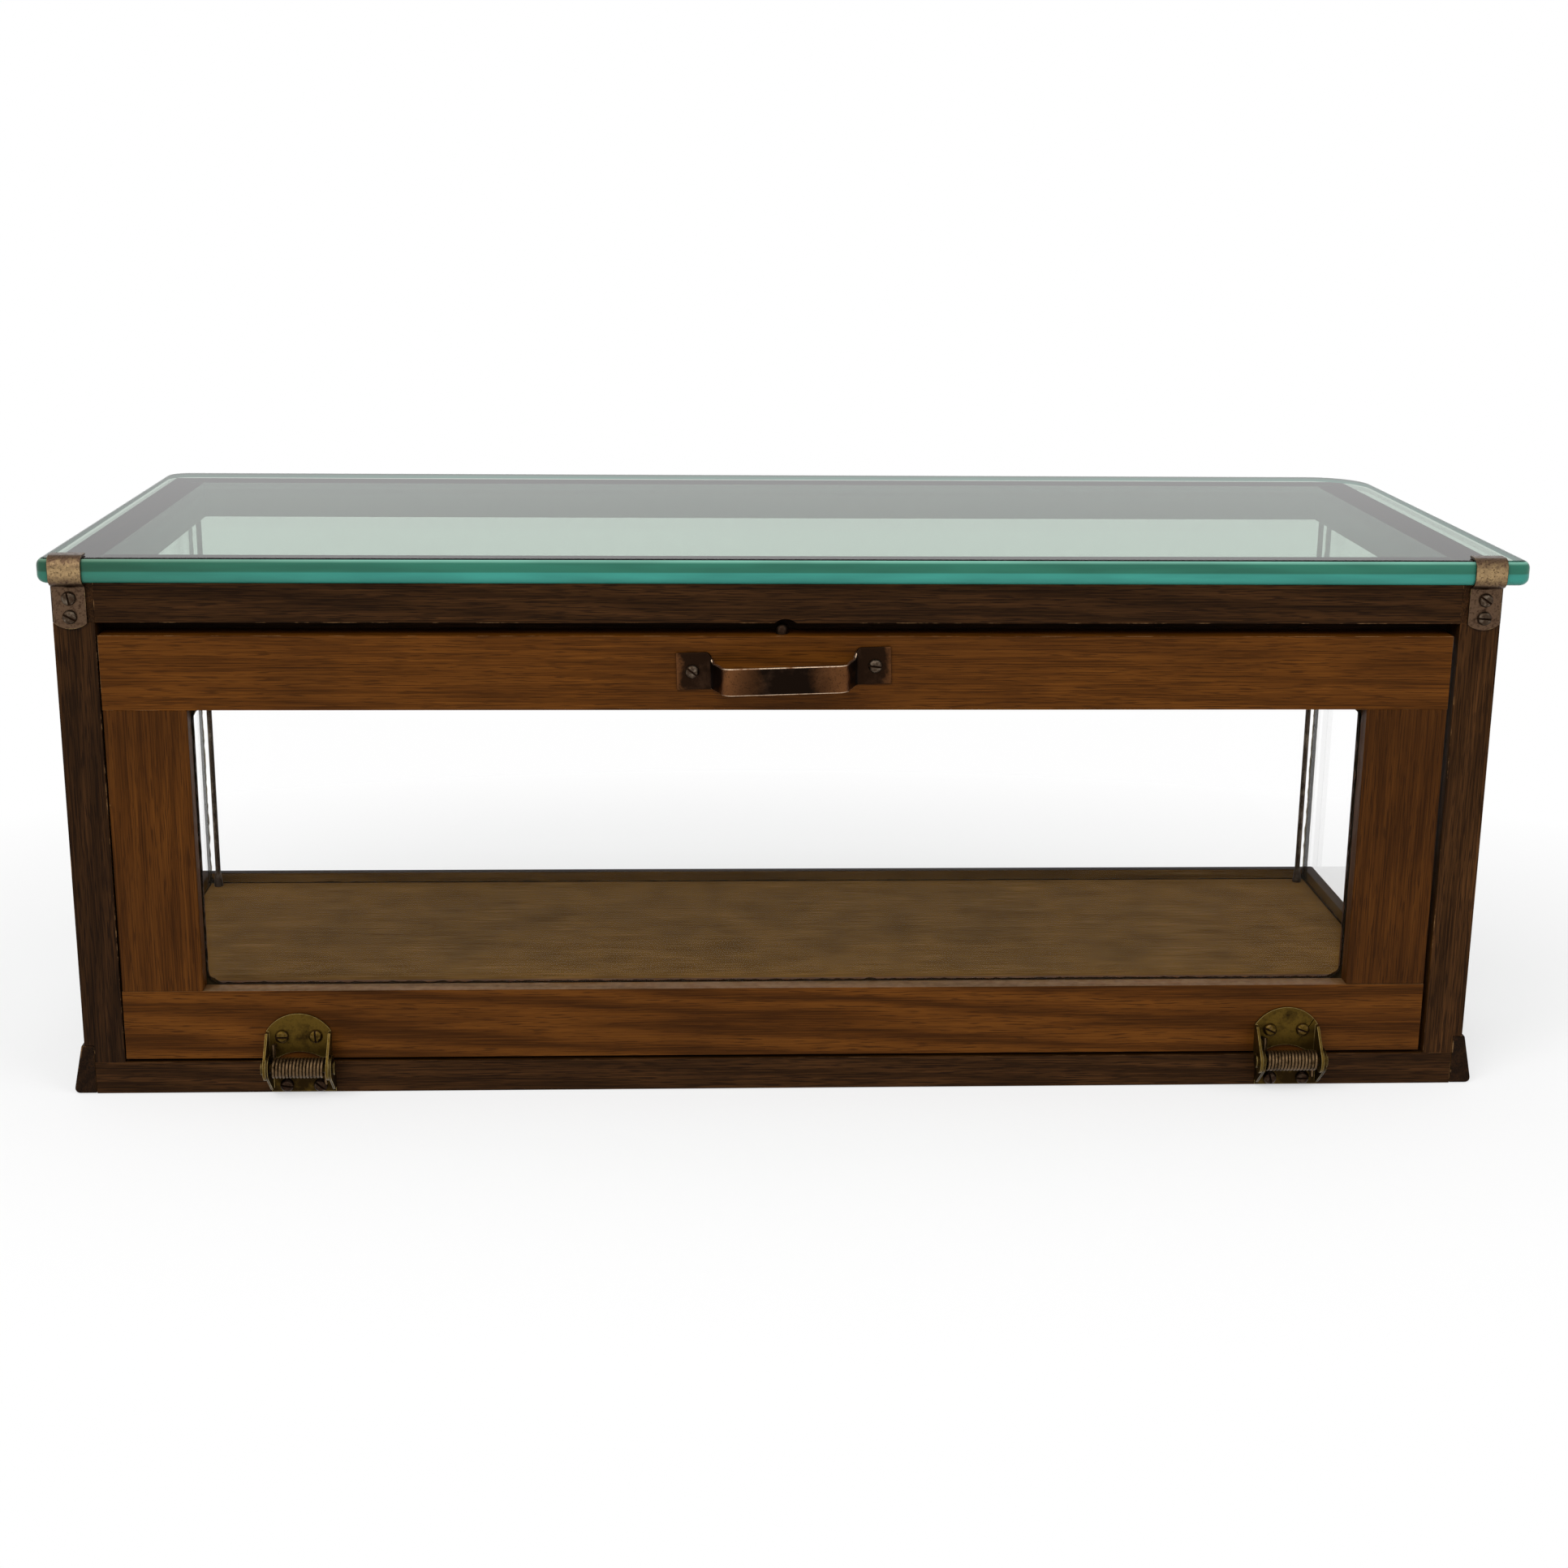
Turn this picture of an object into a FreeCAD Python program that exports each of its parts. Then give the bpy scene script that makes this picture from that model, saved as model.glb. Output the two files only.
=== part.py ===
import FreeCAD, Part
import math
import os
from types import SimpleNamespace

import Sketcher

# Shop-counter display case with a plate glass top and a drop-down glazed door on spring hinges.
# The origin is on the underside, midway across the posts and midway between door face and far
# rail. X runs along the case, Y from the door to the far side, Z up. Lengths are millimetres.

SIZES = {
    "case_width": (724.0, "over the outer faces of the two posts"),
    "case_depth": (302.6, "from the door face to the outer face of the far top rail"),
    "sill_height": (17.1, "sill under the door"),
    "floor_gap": (1.0, "floor and posts' back behind the door"),
    "floor_rise": (3.9, "floor above the sill, which is also the panes' rabbet"),
    "tongue_length": (6.0, "floor tongue into the sill"),
    "tongue_thickness": (6.0, "floor tongue"),
    "tongue_height": (5.0, "underside of the tongue above the table"),
    "tongue_inset": (30.0, "ends of the tongue from the outer faces of the posts"),
    "post_width": (20.5, "posts and side top rails, across"),
    "frame_underside": (249.6, "underside of the top frame above the table"),
    "top_rail_height": (20.2, "rails of the top frame"),
    "far_rail_width": (20.5, "far top rail, front to back"),
    "header_depth": (28.0, "header over the door, front to back"),
    "header_lip": (11.6, "door stop behind the header's rabbet, below the top frame"),
    "stop_gap": (0.4, "door stop behind the closed door"),
    "relief_radius": (8.0, "relief in the header over the door's stud"),
    "relief_rise": (2.2, "height of that relief"),
    "relief_length": (14.0, "relief from the door face inwards"),
    "relief_offset": (1.6, "relief to the right of the stud"),
    "tenon_length": (8.0, "stub tenons of the case"),
    "tenon_width": (7.0, "stub tenons of the case, across"),
    "tenon_inset": (2.0, "post tenon from the post's inner face"),
    "tenon_back": (9.0, "post tenon, front to back"),
    "tenon_front": (4.0, "post tenon behind the door face"),
    "header_tenon_top": (3.5, "header tenon below the top of the frame"),
    "far_tenon_inset": (3.0, "far rail's tenon from its outer face"),
    "far_tenon_rise": (6.7, "underside of the far rail's tenon above the frame's underside"),
    "moulding_inset": (5.0, "base moulding's inner face from the case's outer faces"),
    "moulding_height": (26.5, "base moulding"),
    "moulding_foot": (12.0, "base moulding across its foot"),
    "moulding_top": (5.4, "base moulding across its top"),
    "moulding_toe": (3.2, "rounded lower edge of the moulding, a radius"),
    "moulding_hollow": (30.0, "slight hollow of the moulding's slope, a radius"),
    "pane_thickness": (3.2, "window glass of sides, far side and door"),
    "pane_slot": (4.0, "grooves and rabbet for the panes, across"),
    "pane_play": (0.2, "pane from the inner wall of its groove"),
    "post_groove": (6.0, "pane groove in the posts, deep"),
    "top_groove": (5.2, "pane groove in the top rails, deep"),
    "plate_left": (2.3, "glass top past the left post"),
    "plate_right": (8.7, "glass top past the right post, as the plate has slipped a little"),
    "plate_thickness": (12.7, "glass top"),
    "plate_front": (6.0, "glass top past the door face"),
    "plate_far": (4.0, "glass top past the far rail"),
    "plate_corner": (14.0, "glass top's corners in plan, a radius"),
    "plate_arris": (4.0, "clip's bends round the upper and lower edges of the glass top, a radius"),
    "plate_bevel": (3.2, "bevelled upper and lower edges of the glass top"),
    "rod_diameter": (3.2, "tie rods in the far corners"),
    "rod_inset": (14.5, "tie rods from the case's outer faces"),
    "rod_depth": (12.0, "tie rod in the floor"),
    "rod_clearance": (0.05, "round the tie rods, a radius"),
    "rod_end": (0.8, "tie rod above its nut"),
    "foot_diameter": (6.0, "tie rod's foot"),
    "foot_height": (9.0, "tie rod's foot"),
    "counterbore_diameter": (10.0, "recess for the tie rod's nut"),
    "counterbore_depth": (5.5, "recess for the tie rod's nut"),
    "nut_width": (6.0, "square nut, across the flats"),
    "nut_height": (3.0, "square nut"),
    "clip_width": (16.3, "strap of the clips that hold the glass top"),
    "clip_thickness": (1.3, "strap of those clips"),
    "clip_inset": (9.0, "middle of a clip from the post's outer face"),
    "clip_hook": (10.0, "hook of the clip over the glass from its front edge"),
    "clip_gap": (0.15, "between clip and glass"),
    "clip_bend": (1.85, "bend where the clip meets the wood, a radius"),
    "clip_end": (23.3, "lower end of the clip below the top of the frame"),
    "clip_sag": (3.0, "bow of the clip's lower end"),
    "clip_upper_screw": (7.8, "upper screw below the top of the frame"),
    "clip_lower_screw": (17.1, "lower screw below the top of the frame"),
    "door_height": (224.0, "door"),
    "door_thickness": (19.0, "door"),
    "door_gap_left": (0.8, "door to the left post"),
    "door_gap_right": (2.8, "door to the right post"),
    "door_gap_below": (2.0, "door to the sill"),
    "door_top_rail": (38.0, "door's top rail, high"),
    "door_bottom_rail": (37.0, "door's bottom rail, high"),
    "door_stile": (41.5, "door's stiles, across"),
    "door_rabbet": (6.0, "rabbet round the door's opening, across"),
    "glass_setback": (10.0, "door's pane behind the door face"),
    "door_tenon": (12.0, "stile tenons, long"),
    "door_tenon_thickness": (6.0, "stile tenons, front to back"),
    "door_tenon_front": (6.5, "stile tenons behind the door face"),
    "door_tenon_margin": (5.0, "stile tenon from the stile's edge and from its rabbet"),
    "bead_gap": (0.1, "round the glazing beads"),
    "bead_bevel": (2.4, "bevel of the glazing beads"),
    "pull_length": (108.0, "bent strap pull, over its tabs"),
    "pull_spacing": (92.0, "between the pull's screws"),
    "pull_projection": (20.0, "front of the pull from the door face"),
    "pull_thickness": (1.5, "strap of the pull"),
    "pull_tab": (19.0, "tabs of the pull, high"),
    "pull_bar": (14.0, "bar of the pull, high"),
    "pull_leg": (67.0, "between the middles of the pull's legs"),
    "pull_bend": (3.5, "bends of the pull at mid-thickness, a radius"),
    "pull_shoulder": (5.0, "where the bar steps down from the tabs, a radius"),
    "pull_shift": (1.1, "middle of the pull to the left of the case's middle"),
    "pull_drop": (16.4, "middle of the pull's screws below the door's top edge"),
    "pull_screw_rise": (9.3, "pull's screws above the lower edge of the tabs"),
    "pull_tilt": (1.8, "pull's right end stands higher, in degrees"),
    "stud_shift": (2.0, "stud to the left of the case's middle"),
    "stud_setback": (6.5, "stud behind the door face"),
    "stud_diameter": (6.0, "round head of the stud"),
    "stud_height": (5.7, "stud above the door's top edge"),
    "stud_shank": (3.4, "stud in the door, a diameter"),
    "stud_depth": (14.0, "stud in the door"),
    "hinge_left_inset": (111.5, "left hinge from the left post's outer face"),
    "hinge_right_inset": (94.5, "right hinge from the right post's outer face"),
    "hinge_offset": (11.5, "hinge pin in front of the door face"),
    "leaf_width": (33.5, "hinge leaves over their ears"),
    "leaf_thickness": (1.3, "hinge leaves and ears"),
    "leaf_chord": (16.2, "top of the door leaf's straight sides above the pin"),
    "leaf_crown": (25.9, "top of the door leaf above the pin"),
    "leaf_edge": (1.7, "edge of each leaf from the pin's height"),
    "leaf_trim": (17.3, "trimmed lower edge of the base leaf below the pin"),
    "base_ear": (15.0, "base leaf's ears below the pin"),
    "ear_shoulder": (4.5, "top of an ear in front of the door face"),
    "ear_radius": (6.5, "round ends of the ears"),
    "ear_gap": (0.2, "between the ears of the two leaves"),
    "arch_width": (22.0, "arch in each leaf behind the spring"),
    "arch_rise": (3.2, "that arch"),
    "hinge_screw_spacing": (17.4, "between the screws of a leaf"),
    "hinge_screw_rise": (13.4, "door leaf's screws above the pin"),
    "hinge_screw_drop": (13.6, "base leaf's screws below the pin"),
    "pin_diameter": (5.6, "hinge pin"),
    "pin_clearance": (0.05, "between pin and ears, a radius"),
    "pin_head": (7.6, "heads of the hinge pin, a diameter"),
    "pin_head_height": (1.2, "heads of the hinge pin"),
    "spring_wire": (1.3, "spring wire, a diameter"),
    "spring_diameter": (9.2, "spring at the middle of its wire"),
    "spring_length": (26.5, "first to last turn at the middle of the wire"),
    "spring_turns": (15, "turns of each spring"),
    "spring_bend": (2.0, "bend at the spring's ends, a radius"),
    "spring_leg": (13.0, "spring's ends above and below the pin"),
    "spring_seat": (0.05, "spring's ends from the leaves"),
    "spring_sides": (4, "flats that stand for the round of the wire"),
    "screw_head": (6.6, "round heads of all screws, a diameter"),
    "screw_head_height": (2.2, "round heads of all screws"),
    "screw_shank": (3.0, "screws, a diameter"),
    "screw_length": (11.0, "screws behind the metal they hold"),
    "screw_clearance": (0.05, "round the screws in the wood, a radius"),
    "screw_hole_clearance": (0.2, "round the screws in the metal, a radius"),
    "head_sides": (10, "flats that stand for the round of small heads"),
    "shank_sides": (6, "flats that stand for the round of screws and their holes"),
}


class Size:
    """A length that carries its number and the spreadsheet formula that gives it."""

    def __init__(self, number, formula):
        self.number = number
        self.formula = formula

    def joined(self, sign, other, number):
        return Size(number, f"({self.formula} {sign} {other.formula})")

    def __add__(self, other):
        other = as_size(other)
        return self.joined("+", other, self.number + other.number)

    def __sub__(self, other):
        other = as_size(other)
        return self.joined("-", other, self.number - other.number)

    def __mul__(self, other):
        other = as_size(other)
        return self.joined("*", other, self.number * other.number)

    def __truediv__(self, other):
        other = as_size(other)
        return self.joined("/", other, self.number / other.number)

    def __neg__(self):
        return Size(-self.number, f"(-1 * {self.formula})")

    def __radd__(self, other):
        return as_size(other) + self

    def __rsub__(self, other):
        return as_size(other) - self

    def __rmul__(self, other):
        return as_size(other) * self


def as_size(value):
    if isinstance(value, Size):
        return value
    return Size(float(value), f"({float(value)})")


def root(size):
    return Size(math.sqrt(size.number), f"sqrt({size.formula})")


def cosine(angle):
    return Size(math.cos(math.radians(angle.number)), f"cos({angle.formula} * 1 deg)")


def sine(angle):
    return Size(math.sin(math.radians(angle.number)), f"sin({angle.formula} * 1 deg)")


doc = FreeCAD.newDocument("DisplayCase")
sheet = doc.addObject("Spreadsheet::Sheet", "Sizes")
for row, (alias, (number, note)) in enumerate(SIZES.items(), start=1):
    sheet.set(f"A{row}", alias)
    sheet.set(f"B{row}", str(number))
    sheet.setAlias(f"B{row}", alias)
    sheet.set(f"C{row}", note)
doc.recompute()
size = SimpleNamespace(**{name: Size(sheet.get(name), f"Sizes.{name}") for name in SIZES})
pieces = []

# Shared levels and faces, worked out from the driving sizes.
half = size.case_width / 2
front = -size.case_depth / 2
far = size.case_depth / 2
inner = half - size.post_width
skirt = half - size.moulding_inset
skirt_far = far - size.moulding_inset
floor_edge = skirt - size.pane_slot
floor_far = skirt_far - size.pane_slot
floor_top = size.sill_height + size.floor_rise
door_back = front + size.door_thickness
post_back = door_back + size.floor_gap
frame_top = size.frame_underside + size.top_rail_height
groove_top = size.frame_underside + size.top_groove
plate_top = frame_top + size.plate_thickness
rod_x = half - size.rod_inset
rod_y = far - size.rod_inset
door_left = size.door_gap_left - inner
door_right = inner - size.door_gap_right
door_bottom = size.sill_height + size.door_gap_below
door_top = door_bottom + size.door_height
sight_left = door_left + size.door_stile
sight_right = door_right - size.door_stile
sight_bottom = door_bottom + size.door_bottom_rail
sight_top = door_top - size.door_top_rail
pane_front = front + size.glass_setback
stud_x = -size.stud_shift
axis_y = front - size.hinge_offset
axis_z = size.sill_height + size.door_gap_below / 2
stagger = (size.leaf_thickness + size.ear_gap) / 2
hinge_spots = {"left": size.hinge_left_inset - half, "right": half - size.hinge_right_inset}
pull_x = -size.pull_shift
pull_z = door_top - size.pull_drop


# Document helpers

def bind(item, name, value):
    item.setExpression(name, as_size(value).formula)


def place(item, x, y, z):
    bind(item, "Placement.Base.x", x)
    bind(item, "Placement.Base.y", y)
    bind(item, "Placement.Base.z", z)


def piece(label, item):
    item.Label = label
    pieces.append(item)
    return item


def box(low, high):
    item = doc.addObject("Part::Box", "Block")
    for name, start, end in zip(("Length", "Width", "Height"), low, high):
        bind(item, name, end - start)
    place(item, *low)
    return item


def along(item, axis):
    """Lay an upright bar along an axis of the case."""
    turns = {
        "X": FreeCAD.Rotation(FreeCAD.Vector(0, 1, 0), 90),
        "Y": FreeCAD.Rotation(FreeCAD.Vector(1, 0, 0), -90),
        "Z": FreeCAD.Rotation(),
    }
    item.Placement = FreeCAD.Placement(FreeCAD.Vector(), turns[axis])


def cylinder(axis, start, length, diameter):
    """A round bar that runs from start along an axis of the case."""
    item = doc.addObject("Part::Cylinder", "Round")
    along(item, axis)
    bind(item, "Radius", diameter / 2)
    bind(item, "Height", length)
    place(item, *start)
    return item


def prism(axis, start, length, diameter, sides):
    """A bar with flats, for small rounds; the diameter is over its edges."""
    item = doc.addObject("Part::Prism", "Flats")
    along(item, axis)
    bind(item, "Polygon", sides)
    bind(item, "Circumradius", diameter / 2)
    bind(item, "Height", length)
    place(item, *start)
    return item


def fused(*items):
    item = doc.addObject("Part::MultiFuse", "Joined")
    item.Shapes = list(items)
    item.Refine = True
    return item


def cut(base, *tools):
    item = doc.addObject("Part::Cut", "Cut")
    item.Base = base
    item.Tool = tools[0] if len(tools) == 1 else fused(*tools)
    item.Refine = True
    return item


def group(*items):
    item = doc.addObject("Part::Compound", "Group")
    item.Links = list(items)
    return item


def across(side, near, wide):
    """The X range between two distances from the middle, on the left (-1) or right (1) side."""
    return (near, wide) if side > 0 else (-wide, -near)


def sketch_on(body, role, offset=0):
    drawing = body.newObject("Sketcher::SketchObject", "Drawing")
    plane = next(item for item in body.Origin.OriginFeatures if item.Role == role)
    drawing.AttachmentSupport = (plane, [""])
    drawing.MapMode = "FlatFace"
    bind(drawing, "AttachmentOffset.Base.z", offset)
    return drawing


def hold(drawing, kind, geometry, point, value):
    number = drawing.addConstraint(Sketcher.Constraint(kind, -1, 1, geometry, point, value.number))
    drawing.setExpression(f"Constraints[{number}]", value.formula)


def hold_point(drawing, geometry, point, spot):
    hold(drawing, "DistanceX", geometry, point, as_size(spot[0]))
    hold(drawing, "DistanceY", geometry, point, as_size(spot[1]))


def hold_radius(drawing, geometry, radius):
    number = drawing.addConstraint(Sketcher.Constraint("Radius", geometry, radius.number))
    drawing.setExpression(f"Constraints[{number}]", radius.formula)


def flat(spot):
    return FreeCAD.Vector(as_size(spot[0]).number, as_size(spot[1]).number, 0)


def draw_line(drawing, start, end):
    return drawing.addGeometry(Part.LineSegment(start, end), False), 1, 2


def draw_arc(drawing, middle, radius, start, end, turn):
    """An arc from start to end, anticlockwise for a turn of 1; its ends are given as drawn."""
    first = math.atan2(start.y - middle.y, start.x - middle.x)
    last = math.atan2(end.y - middle.y, end.x - middle.x)
    if turn < 0:
        first, last = last, first
    if last < first:
        last += 2 * math.pi
    circle = Part.Circle(middle, FreeCAD.Vector(0, 0, 1), radius)
    geometry = drawing.addGeometry(Part.ArcOfCircle(circle, first, last), False)
    return (geometry, 1, 2) if turn > 0 else (geometry, 2, 1)


def arc_middle(start, end, radius, turn):
    chord = end - start
    rise = math.sqrt(max(radius ** 2 - chord.Length ** 2 / 4, 0))
    aside = FreeCAD.Vector(-chord.y, chord.x, 0).normalize()
    return (start + end) * 0.5 + aside * (turn * rise)


def touch_point(outside, middle, radius, turn):
    """Where the tangent from an outside point meets a circle that is then followed by turn."""
    reach = outside - middle
    angle = math.atan2(reach.y, reach.x) + turn * math.acos(radius / reach.Length)
    return middle + FreeCAD.Vector(math.cos(angle), math.sin(angle), 0) * radius


def outline(drawing, start, *steps):
    """Draw one closed outline from start, with every corner and radius tied to the sheet.

    A step is ("line", spot), ("arc", spot, radius, turn) for an arc to a spot, or
    ("round", middle, radius, turn) for a round end that the lines beside it run into.
    """
    drawn = []
    joins = []
    here = flat(start)
    for number, step in enumerate(steps):
        if step[0] == "line":
            drawn.append(draw_line(drawing, here, flat(step[1])))
            joins.append(step[1])
            here = flat(step[1])
        elif step[0] == "arc":
            spot, radius, turn = step[1:]
            middle = arc_middle(here, flat(spot), radius.number, turn)
            drawn.append(draw_arc(drawing, middle, radius.number, here, flat(spot), turn))
            hold_radius(drawing, drawn[-1][0], radius)
            joins.append(spot)
            here = flat(spot)
        else:
            middle, radius, turn = step[1:]
            arrive = touch_point(here, flat(middle), radius.number, turn)
            leave = touch_point(flat(steps[number + 1][1]), flat(middle), radius.number, -turn)
            drawn.append(draw_line(drawing, here, arrive))
            joins.append(None)
            drawn.append(draw_arc(drawing, flat(middle), radius.number, arrive, leave, turn))
            hold_radius(drawing, drawn[-1][0], radius)
            hold_point(drawing, drawn[-1][0], 3, middle)
            joins.append(None)
            here = leave
    if (here - flat(start)).Length > 0:
        drawn.append(draw_line(drawing, here, flat(start)))
        joins.append(start)
    for number, spot in enumerate(joins):
        geometry, _, end = drawn[number]
        following, begin, _ = drawn[(number + 1) % len(drawn)]
        if spot is None:
            drawing.addConstraint(Sketcher.Constraint("Tangent", geometry, end, following, begin))
        else:
            drawing.addConstraint(Sketcher.Constraint("Coincident", geometry, end, following, begin))
            hold_point(drawing, geometry, end, spot)
    return drawing


def circle(drawing, spot, diameter):
    ring = Part.Circle(flat(spot), FreeCAD.Vector(0, 0, 1), diameter.number / 2)
    geometry = drawing.addGeometry(ring, False)
    hold_radius(drawing, geometry, diameter / 2)
    hold_point(drawing, geometry, 3, spot)


def screw_openings(drawing, spots):
    """Holes in a metal strap with the same flats as the screws that pass through them."""
    sides = int(size.shank_sides.number)
    radius = size.screw_shank / 2 + size.screw_hole_clearance
    for x, z in spots:
        corners = []
        for number in range(sides):
            angle = 2 * math.pi * number / sides
            corners.append((x + radius * math.cos(angle), z + radius * math.sin(angle)))
        outline(drawing, corners[0], *(("line", spot) for spot in corners[1:]))


def new_body(label):
    return piece(label, doc.addObject("PartDesign::Body", label))


def pad(body, drawing, length, backwards=False, both_ways=False):
    feature = body.newObject("PartDesign::Pad", "Pad")
    feature.Profile = drawing
    feature.Reversed = backwards
    feature.SideType = "Symmetric" if both_ways else "One side"
    bind(feature, "Length", length)
    return feature


def pocket(body, drawing):
    """Cut a drawing right through its body, both ways from the drawing's plane."""
    feature = body.newObject("PartDesign::Pocket", "Pocket")
    feature.Profile = drawing
    feature.Type = "ThroughAll"
    feature.SideType = "Symmetric"
    return feature


def rounded(body, base, names, radius):
    feature = body.newObject("PartDesign::Fillet", "Rounding")
    feature.Base = (base, names)
    bind(feature, "Radius", radius)
    doc.recompute()
    return feature


# Base: sill, floor board and mouldings

def screw_hole(x, z):
    """Pilot hole in the wood behind a piece of metal on the door face."""
    diameter = size.screw_shank + 2 * size.screw_clearance
    depth = size.screw_length + size.screw_clearance
    return prism("Y", (x, front, z), depth, diameter, size.shank_sides)


def leaf_screws(side, lean, height):
    middle = hinge_spots[side] + lean * stagger
    reach = size.hinge_screw_spacing / 2
    return [(middle - reach, height), (middle + reach, height)]


def door_leaf_screws(side):
    return leaf_screws(side, -1, axis_z + size.hinge_screw_rise)


def base_leaf_screws(side):
    return leaf_screws(side, 1, axis_z - size.hinge_screw_drop)


def tongue():
    ends = half - size.tongue_inset
    low = (-ends, post_back - size.tongue_length, size.tongue_height)
    high = (ends, post_back, size.tongue_height + size.tongue_thickness)
    return box(low, high)


def post_tenon(side, low, high):
    left, right = across(side, inner + size.tenon_inset, inner + size.tenon_inset + size.tenon_width)
    start = front + size.tenon_front
    return box((left, start, low), (right, start + size.tenon_back, high))


def sill_rail():
    rail = box((-skirt, front, as_size(0)), (skirt, post_back, size.sill_height))
    cuts = [tongue()]
    for side, name in ((-1, "left"), (1, "right")):
        cuts.append(post_tenon(side, size.sill_height - size.tenon_length, size.sill_height))
        cuts.extend(screw_hole(*spot) for spot in base_leaf_screws(name))
    piece("sill_rail", cut(rail, *cuts))


def rod_hole(side, low, high, clearance):
    diameter = size.rod_diameter + 2 * clearance
    return cylinder("Z", (side * rod_x, rod_y, low), high - low, diameter)


def floor_panel():
    board = box((-skirt, post_back, as_size(0)), (skirt, skirt_far, floor_top))
    rabbets = [box((-skirt, floor_far, size.sill_height), (skirt, skirt_far, floor_top))]
    holes = []
    for side in (-1, 1):
        left, right = across(side, floor_edge, skirt)
        rabbets.append(box((left, post_back, size.sill_height), (right, floor_far, floor_top)))
        holes.append(rod_hole(side, floor_top - size.rod_depth, floor_top, size.rod_clearance))
    piece("floor_panel", cut(fused(board, tongue()), *rabbets, *holes))


def moulding_outline(drawing, face, sign):
    """Section of the base moulding, standing out from its inner face the way of sign."""
    toe = face + sign * size.moulding_foot
    lip = face + sign * size.moulding_top
    outline(
        drawing,
        (face, as_size(0)),
        ("line", (toe - sign * size.moulding_toe, as_size(0))),
        ("arc", (toe, size.moulding_toe), size.moulding_toe, sign),
        ("arc", (lip, size.moulding_height), size.moulding_hollow, -sign),
        ("line", (face, size.moulding_height)),
    )


def base_mouldings():
    """Three lengths of one moulding, mitred at the two far corners."""
    toe = skirt + size.moulding_foot
    toe_far = skirt_far + size.moulding_foot
    for side, name in ((-1, "left"), (1, "right")):
        body = new_body(f"base_moulding_{name}")
        section = sketch_on(body, "XZ_Plane", -front)
        moulding_outline(section, side * skirt, side)
        pad(body, section, toe_far - front, backwards=True)
        mitre = sketch_on(body, "XY_Plane")
        corner = (side * skirt, skirt_far)
        outline(
            mitre,
            corner,
            ("line", (side * (toe + size.moulding_foot), toe_far + size.moulding_foot)),
            ("line", (side * skirt, toe_far + size.moulding_foot)),
        )
        pocket(body, mitre)
    body = new_body("base_moulding_far")
    section = sketch_on(body, "YZ_Plane")
    moulding_outline(section, skirt_far, 1)
    pad(body, section, 2 * toe, both_ways=True)
    for side in (-1, 1):
        mitre = sketch_on(body, "XY_Plane")
        outline(
            mitre,
            (side * skirt, skirt_far),
            ("line", (side * (toe + size.moulding_foot), toe_far + size.moulding_foot)),
            ("line", (side * (toe + size.moulding_foot), skirt_far)),
        )
        pocket(body, mitre)


# Posts and top frame

def posts():
    for side, name in ((-1, "left"), (1, "right")):
        left, right = across(side, inner, half)
        stem = box((left, front, size.sill_height), (right, post_back, size.frame_underside))
        foot = post_tenon(side, size.sill_height - size.tenon_length, size.sill_height)
        head = post_tenon(side, size.frame_underside, size.frame_underside + size.tenon_length)
        left, right = across(side, floor_edge, skirt)
        start = post_back - size.post_groove
        groove = box((left, start, size.sill_height), (right, post_back, size.frame_underside))
        left, right = across(side, skirt, half)
        notch = box((left, front, size.sill_height), (right, post_back, size.moulding_height))
        piece(f"post_{name}", cut(fused(stem, foot, head), groove, notch))


def header_tenon(side):
    left, right = across(side, inner, inner + size.tenon_length)
    start = front + size.tenon_front
    top = frame_top - size.header_tenon_top
    return box((left, start, top - size.tenon_width), (right, start + size.tenon_back, top))


def far_tenon(side):
    left, right = across(side, inner, inner + size.tenon_length)
    end = far - size.far_tenon_inset
    low = size.frame_underside + size.far_tenon_rise
    return box((left, end - size.tenon_back, low), (right, end, low + size.tenon_width))


def far_groove(low, high):
    return box((low, floor_far, size.frame_underside), (high, skirt_far, groove_top))


def clip_screws(side):
    x = side * (half - size.clip_inset)
    return [(x, frame_top - size.clip_upper_screw), (x, frame_top - size.clip_lower_screw)]


def side_rails():
    for side, name in ((-1, "left"), (1, "right")):
        left, right = across(side, inner, half)
        rail = box((left, front, size.frame_underside), (right, far, frame_top))
        cuts = [far_groove(*across(side, inner, skirt))]
        left, right = across(side, floor_edge, skirt)
        start = post_back - size.post_groove
        cuts.append(box((left, start, size.frame_underside), (right, floor_far, groove_top)))
        low = size.frame_underside
        cuts.append(post_tenon(side, low, low + size.tenon_length))
        cuts.append(header_tenon(side))
        cuts.append(far_tenon(side))
        cuts.append(rod_hole(side, low, frame_top, size.rod_clearance))
        recess = frame_top - size.counterbore_depth
        spot = (side * rod_x, rod_y, recess)
        cuts.append(cylinder("Z", spot, size.counterbore_depth, size.counterbore_diameter))
        cuts.extend(screw_hole(*spot) for spot in clip_screws(side))
        piece(f"top_rail_{name}", cut(rail, *cuts))


def header_rail():
    """Rail over the door: the lip behind its rabbet stops the door, the relief clears the stud."""
    low = size.frame_underside - size.header_lip
    bar = box((-inner, front, low), (inner, front + size.header_depth, frame_top))
    rabbet_back = door_back + size.stop_gap
    rabbet = box((-inner, front, low), (inner, rabbet_back, size.frame_underside))
    middle = size.frame_underside + size.relief_rise - size.relief_radius
    spot = (stud_x + size.relief_offset, front, middle)
    relief = cylinder("Y", spot, size.relief_length, 2 * size.relief_radius)
    whole = fused(bar, header_tenon(-1), header_tenon(1))
    piece("header_rail", cut(whole, rabbet, relief))


def far_rail():
    start = far - size.far_rail_width
    bar = box((-inner, start, size.frame_underside), (inner, far, frame_top))
    whole = fused(bar, far_tenon(-1), far_tenon(1))
    piece("top_rail_far", cut(whole, far_groove(-inner, inner)))


# Glass of the case

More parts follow.
